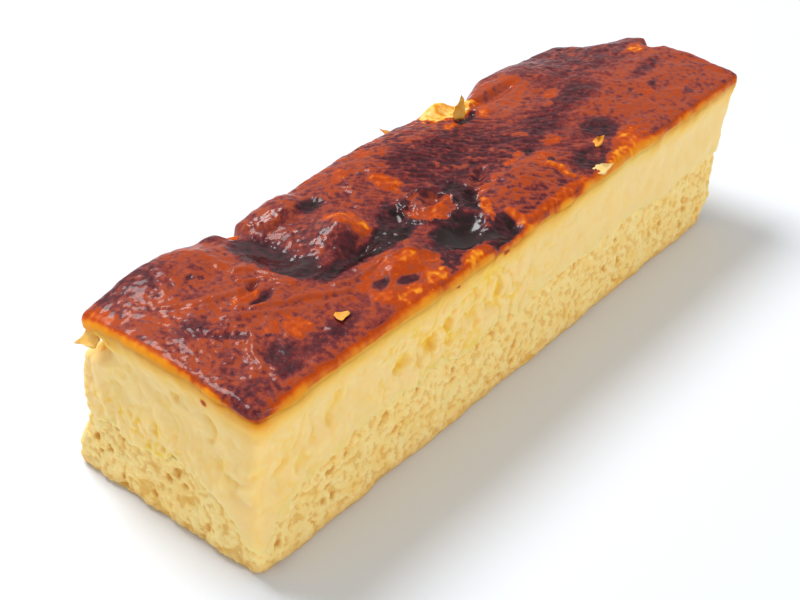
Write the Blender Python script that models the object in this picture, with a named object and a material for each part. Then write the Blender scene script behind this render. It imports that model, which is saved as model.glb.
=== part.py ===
"""A finger of basque burnt cheesecake: a crumbly sponge foot, a thick layer of baked cheese on it, and a
dark burnt crust whose swells, blisters, sunken pools and torn flakes are relief in the cheese solid.

The finger lies along X and stands on z = 0. Its near end is at -X and its smooth long side at -Y.
"""

import math
from collections import namedtuple

import bmesh
import bpy
import numpy as np
from mathutils import Matrix, Vector, noise

MM = 0.001

# Driving sizes of the finger, in millimetres
FINGER_LENGTH = 120.0
FOOT_WIDTH = 38.4
SPONGE_HEIGHT = 14.5
CRUST_EDGE_HEIGHT = 28.4
CROWN_HEIGHT = 1.5
CROWN_FLATNESS = 0.7
LAYER_GAP = 0.3

# How far each side stands from the middle of the foot, as (height, distance from the foot's own side).
# The crust flares out over the cheese, and the left side leans in.
NEAR_SIDE = [(0, 0.5), (1, 1.2), (4, 1.0), (14, 0.4), (20, 0.0), (25, -0.6), (28.4, -0.1)]
FAR_SIDE = [(0, -3.4), (2, -1.8), (5, -0.6), (9, 0.3), (17, -0.1), (21, 1.3), (25, 4.0), (28.4, 4.2)]
RIGHT_SIDE = [(0, 0.0), (1, 0.5), (14, 0.3), (20, 0.4), (25, 0.7), (28.4, 1.3)]
LEFT_SIDE = [(0, 0.1), (1.4, 0.2), (4, -0.7), (8, -2.6), (12, -4.1), (18.5, -3.6), (24, -5.2), (28.4, -4.4)]
CORNER_RADIUS = [(0, 2.4), (4, 1.4), (20, 1.2), (28.4, 2.2)]
FAR_LEFT_RADIUS = 9.0

# A swell of the crust, or with a height below 0 a pool or a tear: its middle, half its length and width,
# how far its long way is turned from X in degrees, and its height
Swell = namedtuple("Swell", "name x y half_length half_width turn height")
SWELLS = [
    Swell("near swell", -47.0, 3.0, 19.0, 17.0, 0.0, 1.0),
    Swell("near left swell", -47.0, 12.0, 15.0, 9.0, 0.0, 2.2),
    Swell("middle swell", -3.0, 9.0, 27.0, 12.0, 0.0, 1.9),
    Swell("far swell", 44.0, -4.0, 20.0, 12.0, 0.0, 0.5),
    Swell("far left swell", 36.0, 10.0, 12.0, 9.0, 0.0, 1.2),
    Swell("island by the edge", 8.0, -12.0, 9.0, 6.5, 0.0, 0.9),
    Swell("red blister", -24.0, 11.0, 6.5, 5.0, 0.0, 1.4),
    Swell("glassy blister", -22.5, -0.5, 6.5, 4.6, 15.0, 1.8),
    Swell("popped blister rim", -6.5, -5.5, 5.0, 4.2, 0.0, 1.2),
    Swell("popped blister hollow", -6.5, -5.5, 3.4, 2.6, 0.0, -1.9),
    Swell("orange rise", -22.0, -13.0, 6.5, 3.6, 0.0, 0.9),
    Swell("left notch", -32.6, 16.5, 3.6, 8.0, 0.0, -3.0),
    Swell("left pool", -31.5, 4.0, 5.5, 8.0, -20.0, -1.3),
    Swell("middle pool", -25.0, -6.0, 9.0, 2.6, 8.0, -1.1),
    Swell("crystal pool", -14.5, -4.5, 4.0, 3.2, 0.0, -0.9),
    Swell("flat pool", -10.0, -14.5, 6.0, 3.6, 25.0, -1.3),
    Swell("edge pool", -4.0, -18.5, 4.5, 3.0, 0.0, -1.0),
    Swell("upper pool", -1.5, -9.6, 2.4, 2.0, 0.0, -0.9),
    Swell("crack beside the island", 3.0, -7.0, 5.0, 1.4, 25.0, -0.9),
    Swell("slit", -41.5, -1.5, 3.4, 1.0, 20.0, -0.8),
    Swell("torn left edge", 22.5, 15.5, 8.0, 4.5, 0.0, -4.2),
    Swell("crease from the tear", 27.0, 8.5, 9.0, 2.0, -10.0, -1.1),
    Swell("far left slope", 52.0, 15.0, 20.0, 12.0, 0.0, -0.8),
    Swell("far left droop", 66.0, 14.0, 14.0, 14.0, 0.0, -4.8),
    Swell("near left droop", -62.0, 15.5, 6.0, 6.0, 0.0, -1.0),
    Swell("far gap", 63.5, -2.0, 3.0, 2.6, 0.0, -2.4),
]

# A flake of torn crust: where its held end is, with the depth under the crust, its length, width and
# thickness, and its turns about X, Y and Z in degrees. A turn about Y below 0 lifts the tip.
Flake = namedtuple("Flake", "name x y depth length width thickness turns")
FLAKES = [
    Flake("corner flake", -57.0, 10.4, 2.7, 7.4, 3.0, 1.1, (0, 26, 106)),
    Flake("upright flake", 21.6, 12.4, 0.4, 2.8, 2.0, 0.9, (0, -62, 25)),
    Flake("torn chunk", 14.0, 12.6, 1.9, 7.5, 3.8, 3.0, (0, 8, 4)),
    Flake("ridge flake", 25.4, -14.6, 0.5, 3.6, 2.4, 0.9, (0, -35, 60)),
    Flake("edge flake", 18.4, -18.8, 0.6, 4.4, 2.2, 0.9, (20, -8, 5)),
    Flake("far chunk", 59.6, 2.0, 1.3, 3.6, 3.6, 2.0, (0, 6, 10)),
    Flake("loose flake", -37.6, -14.6, 0.3, 3.2, 1.9, 1.1, (0, -10, 15)),
]
FLAKE_TIP_WIDTH = 0.4
FLAKE_TIP_THICKNESS = 0.6

# The crust's rim rolls down over this width, by this share of it, and wrinkles rise and fall this much
RIM_WIDTH = 1.6
RIM_DROP = 0.6
WRINKLE_HEIGHT = 0.22
WRINKLE_SPAN = 3.0

# The seam between the layers waves, dips at the near end, and is dragged down at its right corner
SEAM_WAVE = 1.3
SEAM_SPAN = 14.0
SEAM_DIP = 1.8
SEAM_DIP_REACH = 22.0
DRAG_DEPTH = 3.4
DRAG_REACH = 11.0

# Lumps of the cut sides: coarse ones this far in or out, fading in above the foot, and finer ones
LUMP_DEPTH = 0.5
LUMP_SPAN = 6.0
LUMP_FADE = 2.0
FINE_LUMP_DEPTH = 0.3
FINE_LUMP_SPAN = 2.5

# The hollow under the crust at the near left corner
UNDERCUT_REACH = 9.0
UNDERCUT_HALF_HEIGHT = 3.0
UNDERCUT_MIDDLE = 24.6
UNDERCUT_DEPTH = 1.8

# How many cells each layer has along, across and up, and how near its edges the first cut is
CELLS = (57, 19, 6)
EDGE_CUT = 0.9
CRUST_DEPTH = 3.0

SPONGE_COLOUR = (0.83, 0.60, 0.26, 1.0)
CHEESE_COLOUR = (0.90, 0.78, 0.42, 1.0)
CRUST_COLOUR = (0.23, 0.045, 0.015, 1.0)


def clear_scene():
    for obj in list(bpy.data.objects):
        bpy.data.objects.remove(obj)


def material(name, colour, roughness):
    made = bpy.data.materials.new(name)
    made.use_nodes = True
    shader = made.node_tree.nodes["Principled BSDF"]
    shader.inputs["Base Color"].default_value = colour
    shader.inputs["Roughness"].default_value = roughness
    shader.inputs["Metallic"].default_value = 0.0
    return made


def along(profile, height):
    """The value that a profile of (height, value) pairs has at this height."""
    heights, values = zip(*profile)
    return float(np.interp(height, heights, values))


def wave(x, y, z, span, seed):
    """Smooth unevenness from -1 to 1 whose lumps are about span across."""
    place = Vector((x + 31.7 * seed, y - 17.3 * seed, z + 7.9 * seed)) / span
    return noise.noise(place)


def dome(distance):
    """1 in the middle, falling smoothly to 0 at a distance of 1."""
    return (1 - distance**2) ** 2 if distance < 1 else 0.0


def swell_at(x, y, swell):
    angle = math.radians(swell.turn)
    right, up = x - swell.x, y - swell.y
    lengthwise = (right * math.cos(angle) + up * math.sin(angle)) / swell.half_length
    crosswise = (up * math.cos(angle) - right * math.sin(angle)) / swell.half_width
    return swell.height * dome(math.hypot(lengthwise, crosswise))


def sides_at(height):
    """Near, far, right and left side of the outline at this height."""
    half_length, half_width = FINGER_LENGTH / 2, FOOT_WIDTH / 2
    return (
        -half_length - along(NEAR_SIDE, height),
        half_length + along(FAR_SIDE, height),
        -half_width - along(RIGHT_SIDE, height),
        half_width + along(LEFT_SIDE, height),
    )


def rim_drop(x, y):
    """How far the crust's rim has rolled down at this place."""
    near, far, right, left = sides_at(CRUST_EDGE_HEIGHT)
    inside = min(x - near, far - x, y - right, left - y)
    reach = max(0.0, 1 - inside / RIM_WIDTH)
    return RIM_DROP * RIM_WIDTH * (1 - math.sqrt(max(0.0, 1 - reach**2)))


def crust_height(x, y):
    _, _, right, left = sides_at(CRUST_EDGE_HEIGHT)
    across = min(1.0, max(0.0, (y - right) / (left - right)))
    height = CRUST_EDGE_HEIGHT + CROWN_HEIGHT * math.sin(math.pi * across) ** CROWN_FLATNESS
    height += sum(swell_at(x, y, swell) for swell in SWELLS)
    height += WRINKLE_HEIGHT * wave(x, y, 0, WRINKLE_SPAN, 5)
    return height - rim_drop(x, y)


def seam_height(x, y):
    """Middle of the seam between the sponge and the cheese."""
    from_near = x + FINGER_LENGTH / 2
    from_right = y + FOOT_WIDTH / 2
    height = SPONGE_HEIGHT + SEAM_WAVE * wave(x, y, 0, SEAM_SPAN, 2)
    height -= SEAM_DIP * dome(from_near / SEAM_DIP_REACH)
    return height - DRAG_DEPTH * dome(math.hypot(from_near, from_right) / DRAG_REACH)


def sponge_top(x, y):
    return seam_height(x, y) - LAYER_GAP / 2


def cheese_floor(x, y):
    return seam_height(x, y) + LAYER_GAP / 2


def foot(x, y):
    return 0.0


# Each surface with the height at which the outline under it is taken
FOOT = (foot, 0.0)
SPONGE_TOP = (sponge_top, SPONGE_HEIGHT)
CHEESE_FLOOR = (cheese_floor, SPONGE_HEIGHT)
CRUST = (crust_height, CRUST_EDGE_HEIGHT)


def round_corner(x, y, sides, radius):
    """Draws the square corners of an outline in to a radius, with what lies between them left as it is."""
    near, far, right, left = sides
    if x > (near + far) / 2 and y > (right + left) / 2:
        radius = FAR_LEFT_RADIUS
    corner_x = far - radius if x > (near + far) / 2 else near + radius
    corner_y = left - radius if y > (right + left) / 2 else right + radius
    out_x, out_y = (x - corner_x) / radius, (y - corner_y) / radius
    past_x = out_x > 0 if x > (near + far) / 2 else out_x < 0
    past_y = out_y > 0 if y > (right + left) / 2 else out_y < 0
    if not (past_x and past_y):
        return x, y
    return (
        corner_x + radius * out_x * math.sqrt(1 - out_y**2 / 2),
        corner_y + radius * out_y * math.sqrt(1 - out_x**2 / 2),
    )


def cuts(count, length):
    """Places from 0 to 1 of the cuts across a block, with one close to each end."""
    first = EDGE_CUT / length
    return [first + (1 - 2 * first) * i / (count - 2) for i in range(count - 1)]


def lattice_block():
    """A cube from 0 to 1 whose faces are cut into a grid, finer along its edges."""
    block = bmesh.new()
    bmesh.ops.create_cube(block, size=1.0)
    bmesh.ops.translate(block, verts=block.verts, vec=(0.5, 0.5, 0.5))
    along_count, across_count, up_count = CELLS
    places = (
        cuts(along_count, FINGER_LENGTH),
        cuts(across_count, FOOT_WIDTH),
        [i / up_count for i in range(1, up_count)],
    )
    for axis, where in enumerate(places):
        normal = Vector((0, 0, 0))
        normal[axis] = 1.0
        for place in where:
            geometry = block.verts[:] + block.edges[:] + block.faces[:]
            bmesh.ops.bisect_plane(block, geom=geometry, plane_co=place * normal, plane_no=normal)
    return block


def side_relief(x, y, z):
    """How far the lumps of the cut sides stand out at a place."""
    relief = LUMP_DEPTH * wave(x, y, z, LUMP_SPAN, 1)
    relief += FINE_LUMP_DEPTH * wave(x, y, z, FINE_LUMP_SPAN, 3)
    return relief * min(1.0, z / LUMP_FADE)


def undercut(x, y, z):
    """How far the near left corner is drawn in under the crust."""
    near, _, _, left = sides_at(z)
    from_corner = (x - near + left - y) / UNDERCUT_REACH
    upward = (z - UNDERCUT_MIDDLE) / UNDERCUT_HALF_HEIGHT
    return UNDERCUT_DEPTH * dome(math.hypot(from_corner, upward))


def between(start, end, share):
    return start + share * (end - start)


def height_on(surface, share):
    """Height of a surface at a share of the way along and across the finger."""
    shape, outline_height = surface
    near, far, right, left = sides_at(outline_height)
    return shape(between(near, far, share.x), between(right, left, share.y))


def place_in_finger(share, low, high):
    """The point of the finger for a point of the unit block, between two surfaces."""
    z = between(height_on(low, share), height_on(high, share), share.z)
    near, far, right, left = sides = sides_at(z)
    x, y = between(near, far, share.x), between(right, left, share.y)
    x, y = round_corner(x, y, sides, along(CORNER_RADIUS, z))
    drawn_in = undercut(x, y, z)
    x += drawn_in
    y -= drawn_in
    relief = side_relief(x, y, z)
    if share.x in (0.0, 1.0):
        x += relief * (2 * share.x - 1)
    if share.y in (0.0, 1.0):
        y += relief * (2 * share.y - 1)
    return Vector((x, y, z)) * MM


def layer(name, low, high, materials, group):
    block = lattice_block()
    for vertex in block.verts:
        vertex.co = place_in_finger(vertex.co.copy(), low, high)
    bmesh.ops.recalc_face_normals(block, faces=block.faces)
    mesh = bpy.data.meshes.new(name)
    block.to_mesh(mesh)
    block.free()
    for made in materials:
        mesh.materials.append(made)
    mesh.shade_smooth()
    obj = bpy.data.objects.new(name, mesh)
    group.objects.link(obj)
    return obj


def brown_the_top(cheese):
    """Gives the faces of the crust its own material."""
    for face in cheese.data.polygons:
        high = face.center.z > (CRUST_EDGE_HEIGHT - CRUST_DEPTH) * MM
        face.material_index = int(high and face.normal.z > 0.5)


def add_flake(flake, group):
    """A block that is wide where it is held and narrow at its tip."""
    bpy.ops.mesh.primitive_cube_add(size=1.0)
    obj = bpy.context.object
    for vertex in obj.data.vertices:
        tip = vertex.co.x + 0.5
        vertex.co.x = tip * flake.length * MM
        vertex.co.y *= flake.width * between(1, FLAKE_TIP_WIDTH, tip) * MM
        vertex.co.z *= flake.thickness * between(1, FLAKE_TIP_THICKNESS, tip) * MM
    height = crust_height(flake.x, flake.y) - flake.depth
    obj.location = Vector((flake.x, flake.y, height)) * MM
    obj.rotation_euler = [math.radians(turn) for turn in flake.turns]
    for owner in list(obj.users_collection):
        owner.objects.unlink(obj)
    group.objects.link(obj)


def fuse_flakes(cheese):
    """Joins the flakes to the crust that they are torn from."""
    torn = bpy.data.collections.new("flakes")
    bpy.context.scene.collection.children.link(torn)
    for flake in FLAKES:
        add_flake(flake, torn)
    union = cheese.modifiers.new("flakes", "BOOLEAN")
    union.operation = "UNION"
    union.operand_type = "COLLECTION"
    union.collection = torn
    union.solver = "EXACT"
    bpy.context.view_layer.update()
    graph = bpy.context.evaluated_depsgraph_get()
    joined = bpy.data.meshes.new_from_object(cheese.evaluated_get(graph))
    cheese.modifiers.clear()
    cheese.data = joined
    for obj in list(torn.objects):
        bpy.data.objects.remove(obj)
    bpy.data.collections.remove(torn)


def centre(objects):
    """Centres the bounding box of the finger on X and Y, and returns that move in millimetres."""
    points = np.array([vertex.co for obj in objects for vertex in obj.data.vertices])
    move = -(points.min(axis=0) + points.max(axis=0)) / 2
    move[2] = 0.0
    for obj in objects:
        obj.data.transform(Matrix.Translation(move))
    return move / MM


def main():
    clear_scene()
    finger = bpy.data.collections.new("cheesecake_finger")
    bpy.context.scene.collection.children.link(finger)
    crumb = material("sponge crumb", SPONGE_COLOUR, 0.9)
    curd = material("baked cheese", CHEESE_COLOUR, 0.6)
    burnt = material("burnt crust", CRUST_COLOUR, 0.25)
    sponge = layer("sponge_base", FOOT, SPONGE_TOP, [crumb], finger)
    cheese = layer("cheese_layer", CHEESE_FLOOR, CRUST, [curd, burnt], finger)
    brown_the_top(cheese)
    fuse_flakes(cheese)
    move = centre([sponge, cheese])
    print("Centring moved the finger by", np.round(move, 4), "mm")
    return move


main()
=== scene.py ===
# %% [markdown]
# # A bar of burnt cheesecake
# The object is one bar cut from a larger cake: a crumbly golden sponge, a thick layer of baked cheese on
# it, and a thin crust of burnt sugar and cheese on top. Nothing on it is straight or even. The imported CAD
# model gives its true size and its main swells, and this lesson dresses that model with the fine relief and
# finishes that it lacks.

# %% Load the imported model, which stays fixed
import math
from collections import namedtuple

import bpy
import numpy as np
from mathutils import Matrix, Vector, kdtree, noise


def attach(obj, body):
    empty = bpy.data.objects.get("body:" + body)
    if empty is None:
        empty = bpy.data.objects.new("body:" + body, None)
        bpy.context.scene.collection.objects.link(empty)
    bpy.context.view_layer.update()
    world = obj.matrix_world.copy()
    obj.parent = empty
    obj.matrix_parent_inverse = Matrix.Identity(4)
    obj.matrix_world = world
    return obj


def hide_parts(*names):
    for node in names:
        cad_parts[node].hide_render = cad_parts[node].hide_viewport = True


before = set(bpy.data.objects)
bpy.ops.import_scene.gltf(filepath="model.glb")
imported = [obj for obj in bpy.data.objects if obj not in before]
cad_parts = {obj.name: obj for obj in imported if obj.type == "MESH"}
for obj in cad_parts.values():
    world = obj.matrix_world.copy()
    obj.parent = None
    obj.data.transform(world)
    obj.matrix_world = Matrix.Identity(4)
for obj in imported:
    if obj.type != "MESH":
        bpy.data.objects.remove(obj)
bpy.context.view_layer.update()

# %% [markdown]
# ## The bar's plan, in millimetres
# A maker would measure the bar once and cut every layer by the same drawing. So the outline at any height
# is one set of profiles, with x along the bar, y across it and z up. The bar's middle was moved onto the
# origin when it was packed, and the same move is made here as each mesh is written.

# %% The outline of the bar at any height
MM = 0.001
CENTRING = np.array([-1.636, 0.5597, 0.0])
BAR_LENGTH = 120.0
FOOT_WIDTH = 38.4
CRUST_EDGE = 28.4

NEAR_SIDE = [(0, 0.5), (1, 1.2), (4, 1.0), (14, 0.4), (20, 0.0), (25, -0.6), (28.4, -0.1)]
FAR_SIDE = [(0, -3.4), (2, -1.8), (5, -0.6), (9, 0.3), (17, -0.1), (21, 1.3), (25, 4.0), (28.4, 4.2)]
RIGHT_SIDE = [(0, 0.0), (1, 0.5), (14, 0.3), (20, 0.4), (25, 0.7), (28.4, 1.3)]
LEFT_SIDE = [(0, 0.1), (1.4, 0.2), (4, -0.7), (8, -2.6), (12, -4.1), (18.5, -3.6), (24, -5.2), (28.4, -4.4)]
CORNER_RADIUS = [(0, 2.4), (4, 1.4), (20, 1.2), (28.4, 2.2)]
FAR_LEFT_RADIUS = 9.0


def along(profile, place):
    """The value that a profile of (place, value) pairs has at each place."""
    places, values = zip(*profile)
    return np.interp(place, places, values)


def between(start, end, share):
    return start + share * (end - start)


def sides_at(height):
    """Near, far, right and left side of the outline at each height."""
    return (
        -BAR_LENGTH / 2 - along(NEAR_SIDE, height),
        BAR_LENGTH / 2 + along(FAR_SIDE, height),
        -FOOT_WIDTH / 2 - along(RIGHT_SIDE, height),
        FOOT_WIDTH / 2 + along(LEFT_SIDE, height),
    )


def smooth(low, high, value):
    """0 below low, 1 above high, and a soft slope between them."""
    share = np.clip((value - low) / (high - low), 0, 1)
    return share * share * (3 - 2 * share)


def dome(distance):
    """1 in the middle, falling smoothly to 0 at a distance of 1."""
    return np.clip(1 - np.square(distance), 0, None) ** 2


def wave(points, span, seed):
    """Smooth unevenness from -1 to 1 whose lumps are about span across."""
    places = (points + seed * np.array([31.7, -17.3, 7.9])) / span
    flat = [noise.noise(place) for place in places.reshape(-1, 3).tolist()]
    return np.array(flat).reshape(points.shape[:-1])


print("outline at the foot", [round(float(side), 1) for side in sides_at(0.0)])

# %% [markdown]
# ## Round corners and the hollow under the crust
# The knife leaves corners of one to two millimetres, and the far left corner has broken away to a wide
# curve. Under the crust's near left corner the cheese has shrunk back. Both bend the whole plan smoothly,
# so every layer that is drawn on the plan bends with it and none folds over itself.

# %% From shares of the plan to places on the bar
UNDERCUT_REACH, UNDERCUT_HALF_HEIGHT, UNDERCUT_MIDDLE, UNDERCUT_DEPTH = 9.0, 3.0, 24.6, 1.8


def round_corner(x, y, sides, radius):
    """Draws the square corners of an outline in to a radius."""
    near, far, right, left = sides
    beyond_x, beyond_y = x > (near + far) / 2, y > (right + left) / 2
    radius = np.where(beyond_x & beyond_y, FAR_LEFT_RADIUS, radius)
    corner_x = np.where(beyond_x, far - radius, near + radius)
    corner_y = np.where(beyond_y, left - radius, right + radius)
    out_x, out_y = (x - corner_x) / radius, (y - corner_y) / radius
    past = (np.where(beyond_x, out_x, -out_x) > 0) & (np.where(beyond_y, out_y, -out_y) > 0)
    drawn_x = corner_x + radius * out_x * np.sqrt(np.clip(1 - out_y**2 / 2, 0, None))
    drawn_y = corner_y + radius * out_y * np.sqrt(np.clip(1 - out_x**2 / 2, 0, None))
    return np.where(past, drawn_x, x), np.where(past, drawn_y, y)


def plan(u, v, z):
    """Places on the bar for shares along (u) and across (v) it, at heights z."""
    near, far, right, left = sides = sides_at(z)
    x, y = round_corner(between(near, far, u), between(right, left, v), sides, along(CORNER_RADIUS, z))
    from_corner = (x - near + left - y) / UNDERCUT_REACH
    upward = (z - UNDERCUT_MIDDLE) / UNDERCUT_HALF_HEIGHT
    drawn_in = UNDERCUT_DEPTH * dome(np.hypot(from_corner, upward))
    return np.stack([x + drawn_in, y - drawn_in, z + 0 * x], axis=-1)


# %% [markdown]
# ## The swells of the crust
# Steam lifts the hot crust into blisters, and melted sugar sinks into pools. These are the swells of the
# CAD model, each an ellipse that rises or sinks smoothly, with the left notch cut a little narrower. Two
# are drawn here alone, because they are small: the lump of open cheese in the torn edge, and the bubble
# beside the notch.

# %% The crust's height at any place
Swell = namedtuple("Swell", "name x y half_length half_width turn height")
SWELLS = [
    Swell("near swell", -47.0, 3.0, 19.0, 17.0, 0.0, 1.0),
    Swell("near left swell", -47.0, 12.0, 15.0, 9.0, 0.0, 2.2),
    Swell("middle swell", -3.0, 9.0, 27.0, 12.0, 0.0, 1.9),
    Swell("far swell", 44.0, -4.0, 20.0, 12.0, 0.0, 0.5),
    Swell("far left swell", 36.0, 10.0, 12.0, 9.0, 0.0, 1.2),
    Swell("island by the edge", 8.0, -12.0, 9.0, 6.5, 0.0, 0.9),
    Swell("red blister", -24.0, 11.0, 6.5, 5.0, 0.0, 1.4),
    Swell("glassy blister", -22.5, -0.5, 6.5, 4.6, 15.0, 1.8),
    Swell("popped blister rim", -6.5, -5.5, 5.0, 4.2, 0.0, 1.2),
    Swell("popped blister hollow", -6.5, -5.5, 3.4, 2.6, 0.0, -1.9),
    Swell("orange rise", -22.0, -13.0, 6.5, 3.6, 0.0, 0.9),
    Swell("left notch", -31.6, 16.5, 2.9, 8.0, 0.0, -3.0),
    Swell("left pool", -31.5, 4.0, 5.5, 8.0, -20.0, -1.3),
    Swell("middle pool", -25.0, -6.0, 9.0, 2.6, 8.0, -1.1),
    Swell("crystal pool", -14.5, -4.5, 4.0, 3.2, 0.0, -0.9),
    Swell("flat pool", -10.0, -14.5, 6.0, 3.6, 25.0, -1.3),
    Swell("edge pool", -4.0, -18.5, 4.5, 3.0, 0.0, -1.0),
    Swell("upper pool", -1.5, -9.6, 2.4, 2.0, 0.0, -0.9),
    Swell("crack beside the island", 3.0, -7.0, 5.0, 1.4, 25.0, -0.9),
    Swell("slit", -41.5, -1.5, 3.4, 1.0, 20.0, -0.8),
    Swell("torn left edge", 22.5, 15.5, 8.0, 4.5, 0.0, -4.2),
    Swell("crease from the tear", 27.0, 8.5, 9.0, 2.0, -10.0, -1.1),
    Swell("far left slope", 52.0, 15.0, 20.0, 12.0, 0.0, -0.8),
    Swell("far left droop", 66.0, 14.0, 14.0, 14.0, 0.0, -4.8),
    Swell("near left droop", -62.0, 15.5, 6.0, 6.0, 0.0, -1.0),
    Swell("far gap", 63.5, -2.0, 3.0, 2.6, 0.0, -2.4),
    Swell("lump of open cheese", 17.4, 12.8, 4.6, 2.6, 6.0, 1.9),
    Swell("notch bubble", -35.0, 14.4, 2.8, 3.0, 0.0, 0.6),
]
CROWN_HEIGHT, CROWN_FLATNESS = 1.5, 0.7
RIM_WIDTH, RIM_DROP = 1.6, 0.6
UNEVENNESS, UNEVEN_SPAN = 0.22, 3.0


def ellipse(x, y, shape):
    """Distance from the middle of a turned ellipse, which is 1 on its outline."""
    angle = math.radians(shape.turn)
    right, up = x - shape.x, y - shape.y
    lengthwise = (right * math.cos(angle) + up * math.sin(angle)) / shape.half_length
    crosswise = (up * math.cos(angle) - right * math.sin(angle)) / shape.half_width
    return np.hypot(lengthwise, crosswise)


def inside_rim(x, y):
    """How far a place lies inside the outline of the crust's edge."""
    near, far, right, left = sides_at(CRUST_EDGE)
    return np.minimum(np.minimum(x - near, far - x), np.minimum(y - right, left - y))


def crust_height(x, y):
    """Height of the crust at each place: its crown, its swells and the fall to its rolled edge."""
    _, _, right, left = sides_at(CRUST_EDGE)
    across = np.clip((y - right) / (left - right), 0, 1)
    height = CRUST_EDGE + CROWN_HEIGHT * np.sin(math.pi * across) ** CROWN_FLATNESS
    height = height + sum(swell.height * dome(ellipse(x, y, swell)) for swell in SWELLS)
    flat = np.stack([x, y, 0 * x], axis=-1)
    height = height + UNEVENNESS * wave(flat, UNEVEN_SPAN, 5)
    reach = np.clip(1 - inside_rim(x, y) / RIM_WIDTH, 0, 1)
    return height - RIM_DROP * RIM_WIDTH * (1 - np.sqrt(np.clip(1 - reach**2, 0, None)))


# %% [markdown]
# ## The seam, and the lumps of the cut sides
# Sponge and cheese meet in a seam that waves, dips at the near end, and is dragged down at the near right
# corner by the knife. The cut sides are lumpy. Both follow the CAD model, so the dressed bar keeps its
# form.

# %% The seam's height and the lumps' depth
SPONGE_HEIGHT, SEAM_WAVE, SEAM_SPAN = 14.5, 1.3, 14.0
SEAM_DIP, SEAM_DIP_REACH, DRAG_DEPTH, DRAG_REACH = 1.8, 22.0, 3.4, 11.0
LUMP_DEPTH, LUMP_SPAN = 0.5, 6.0
SMALL_LUMP_DEPTH, SMALL_LUMP_SPAN = 0.3, 2.5
LUMP_FADE = 2.0


def seam_height(x, y):
    from_near, from_right = x + BAR_LENGTH / 2, y + FOOT_WIDTH / 2
    height = SPONGE_HEIGHT + SEAM_WAVE * wave(np.stack([x, y, 0 * x], axis=-1), SEAM_SPAN, 2)
    height = height - SEAM_DIP * dome(from_near / SEAM_DIP_REACH)
    return height - DRAG_DEPTH * dome(np.hypot(from_near, from_right) / DRAG_REACH)


def side_lumps(points):
    """How far the lumps of the cut sides stand out, fading in above the foot."""
    lumps = LUMP_DEPTH * wave(points, LUMP_SPAN, 1) + SMALL_LUMP_DEPTH * wave(points, SMALL_LUMP_SPAN, 3)
    return lumps * np.clip(points[..., 2] / LUMP_FADE, 0, 1)


# %% [markdown]
# ## How the bar is meshed
# Relief this fine needs a mesh of quarter-millimetre cells. Each layer is drawn as rows of points round the
# bar, from top to bottom, and the crust also as a grid over the top. The cells are a little finer at the
# near end, which is closest to the eye. Rings of points are closed by a fan to one point inside the bar.

# %% Shares along and across, the ring round the bar, and the mesh maker
def graded(length, near_step, far_step):
    """Places from 0 to 1 whose steps grow from near_step to far_step."""
    steps = np.linspace(near_step, far_step, round(2 * length / (near_step + far_step)))
    return np.concatenate([[0.0], np.cumsum(steps) / steps.sum()])


NEAR_CELL, FAR_CELL, PLACES_ACROSS = 0.22, 0.31, 160
CRUST_OVERHANG = 4
LENGTHWISE = graded(BAR_LENGTH + CRUST_OVERHANG, NEAR_CELL, FAR_CELL)
CROSSWISE = np.linspace(0, 1, PLACES_ACROSS)
RING_U = np.concatenate([LENGTHWISE[:-1], np.ones(len(CROSSWISE) - 1), LENGTHWISE[:0:-1], 0 * CROSSWISE[1:]])
RING_V = np.concatenate([0 * LENGTHWISE[1:], CROSSWISE[:-1], np.ones(len(LENGTHWISE) - 1), CROSSWISE[:0:-1]])
RING = len(RING_U)


def outward(rows):
    """Level direction that points out of the bar, at each point of rows that run round it."""
    run = np.roll(rows, -3, axis=1) - np.roll(rows, 3, axis=1)
    out = np.stack([run[..., 1], -run[..., 0], 0 * run[..., 0]], axis=-1)
    return out / np.maximum(np.linalg.norm(out, axis=-1, keepdims=True), 1e-9)


def band(first_ring, second_ring):
    """Quads between a ring of vertex numbers and the ring below it, facing outwards."""
    return np.stack([first_ring, second_ring, np.roll(second_ring, -1), np.roll(first_ring, -1)], axis=-1)


def grid_quads(grid):
    """Quads between the vertex numbers of a grid, facing up."""
    corners = [grid[:-1, :-1], grid[1:, :-1], grid[1:, 1:], grid[:-1, 1:]]
    return np.stack(corners, axis=-1).reshape(-1, 4)


def grid_rim(grid):
    """The vertex numbers round the outside of a grid."""
    return np.concatenate([grid[:-1, 0], grid[-1, :-1], grid[:0:-1, -1], grid[0, :0:-1]])


def fan(middle, ring, faces_up):
    """Triangles that close a ring to the point in its middle."""
    after = np.roll(ring, -1)
    second, third = (ring, after) if faces_up else (after, ring)
    return np.stack([np.full(len(ring), middle), second, third], axis=-1)


def layer_faces(rows, top_middle, foot_middle):
    """Quads between the rows of a layer, and the two fans that close its first and last row."""
    rings = [RING * row + np.arange(RING) for row in range(rows)]
    quads = np.concatenate([band(upper, lower) for upper, lower in zip(rings, rings[1:])])
    fans = [fan(top_middle, rings[0], True), fan(foot_middle, rings[-1], False)]
    return quads, np.concatenate(fans)


def write_mesh(name, points, quads, triangles, marks):
    """A mesh of the points in millimetres, with its named marks kept on the vertices."""
    mesh = bpy.data.meshes.new(name)
    faces = quads.tolist() + triangles.tolist()
    mesh.from_pydata(((points + CENTRING) * MM).tolist(), [], faces)
    for mark, values in marks.items():
        layer = mesh.attributes.new(mark, "FLOAT", "POINT")
        layer.data.foreach_set("value", np.asarray(values, dtype=np.float32))
    mesh.shade_smooth()
    obj = bpy.data.objects.new(name, mesh)
    bpy.context.scene.collection.objects.link(obj)
    print(name, "has", len(quads) * 2 + len(triangles), "triangles")
    return obj


print(len(LENGTHWISE), "by", len(CROSSWISE), "places,", RING, "round the bar")

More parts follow.
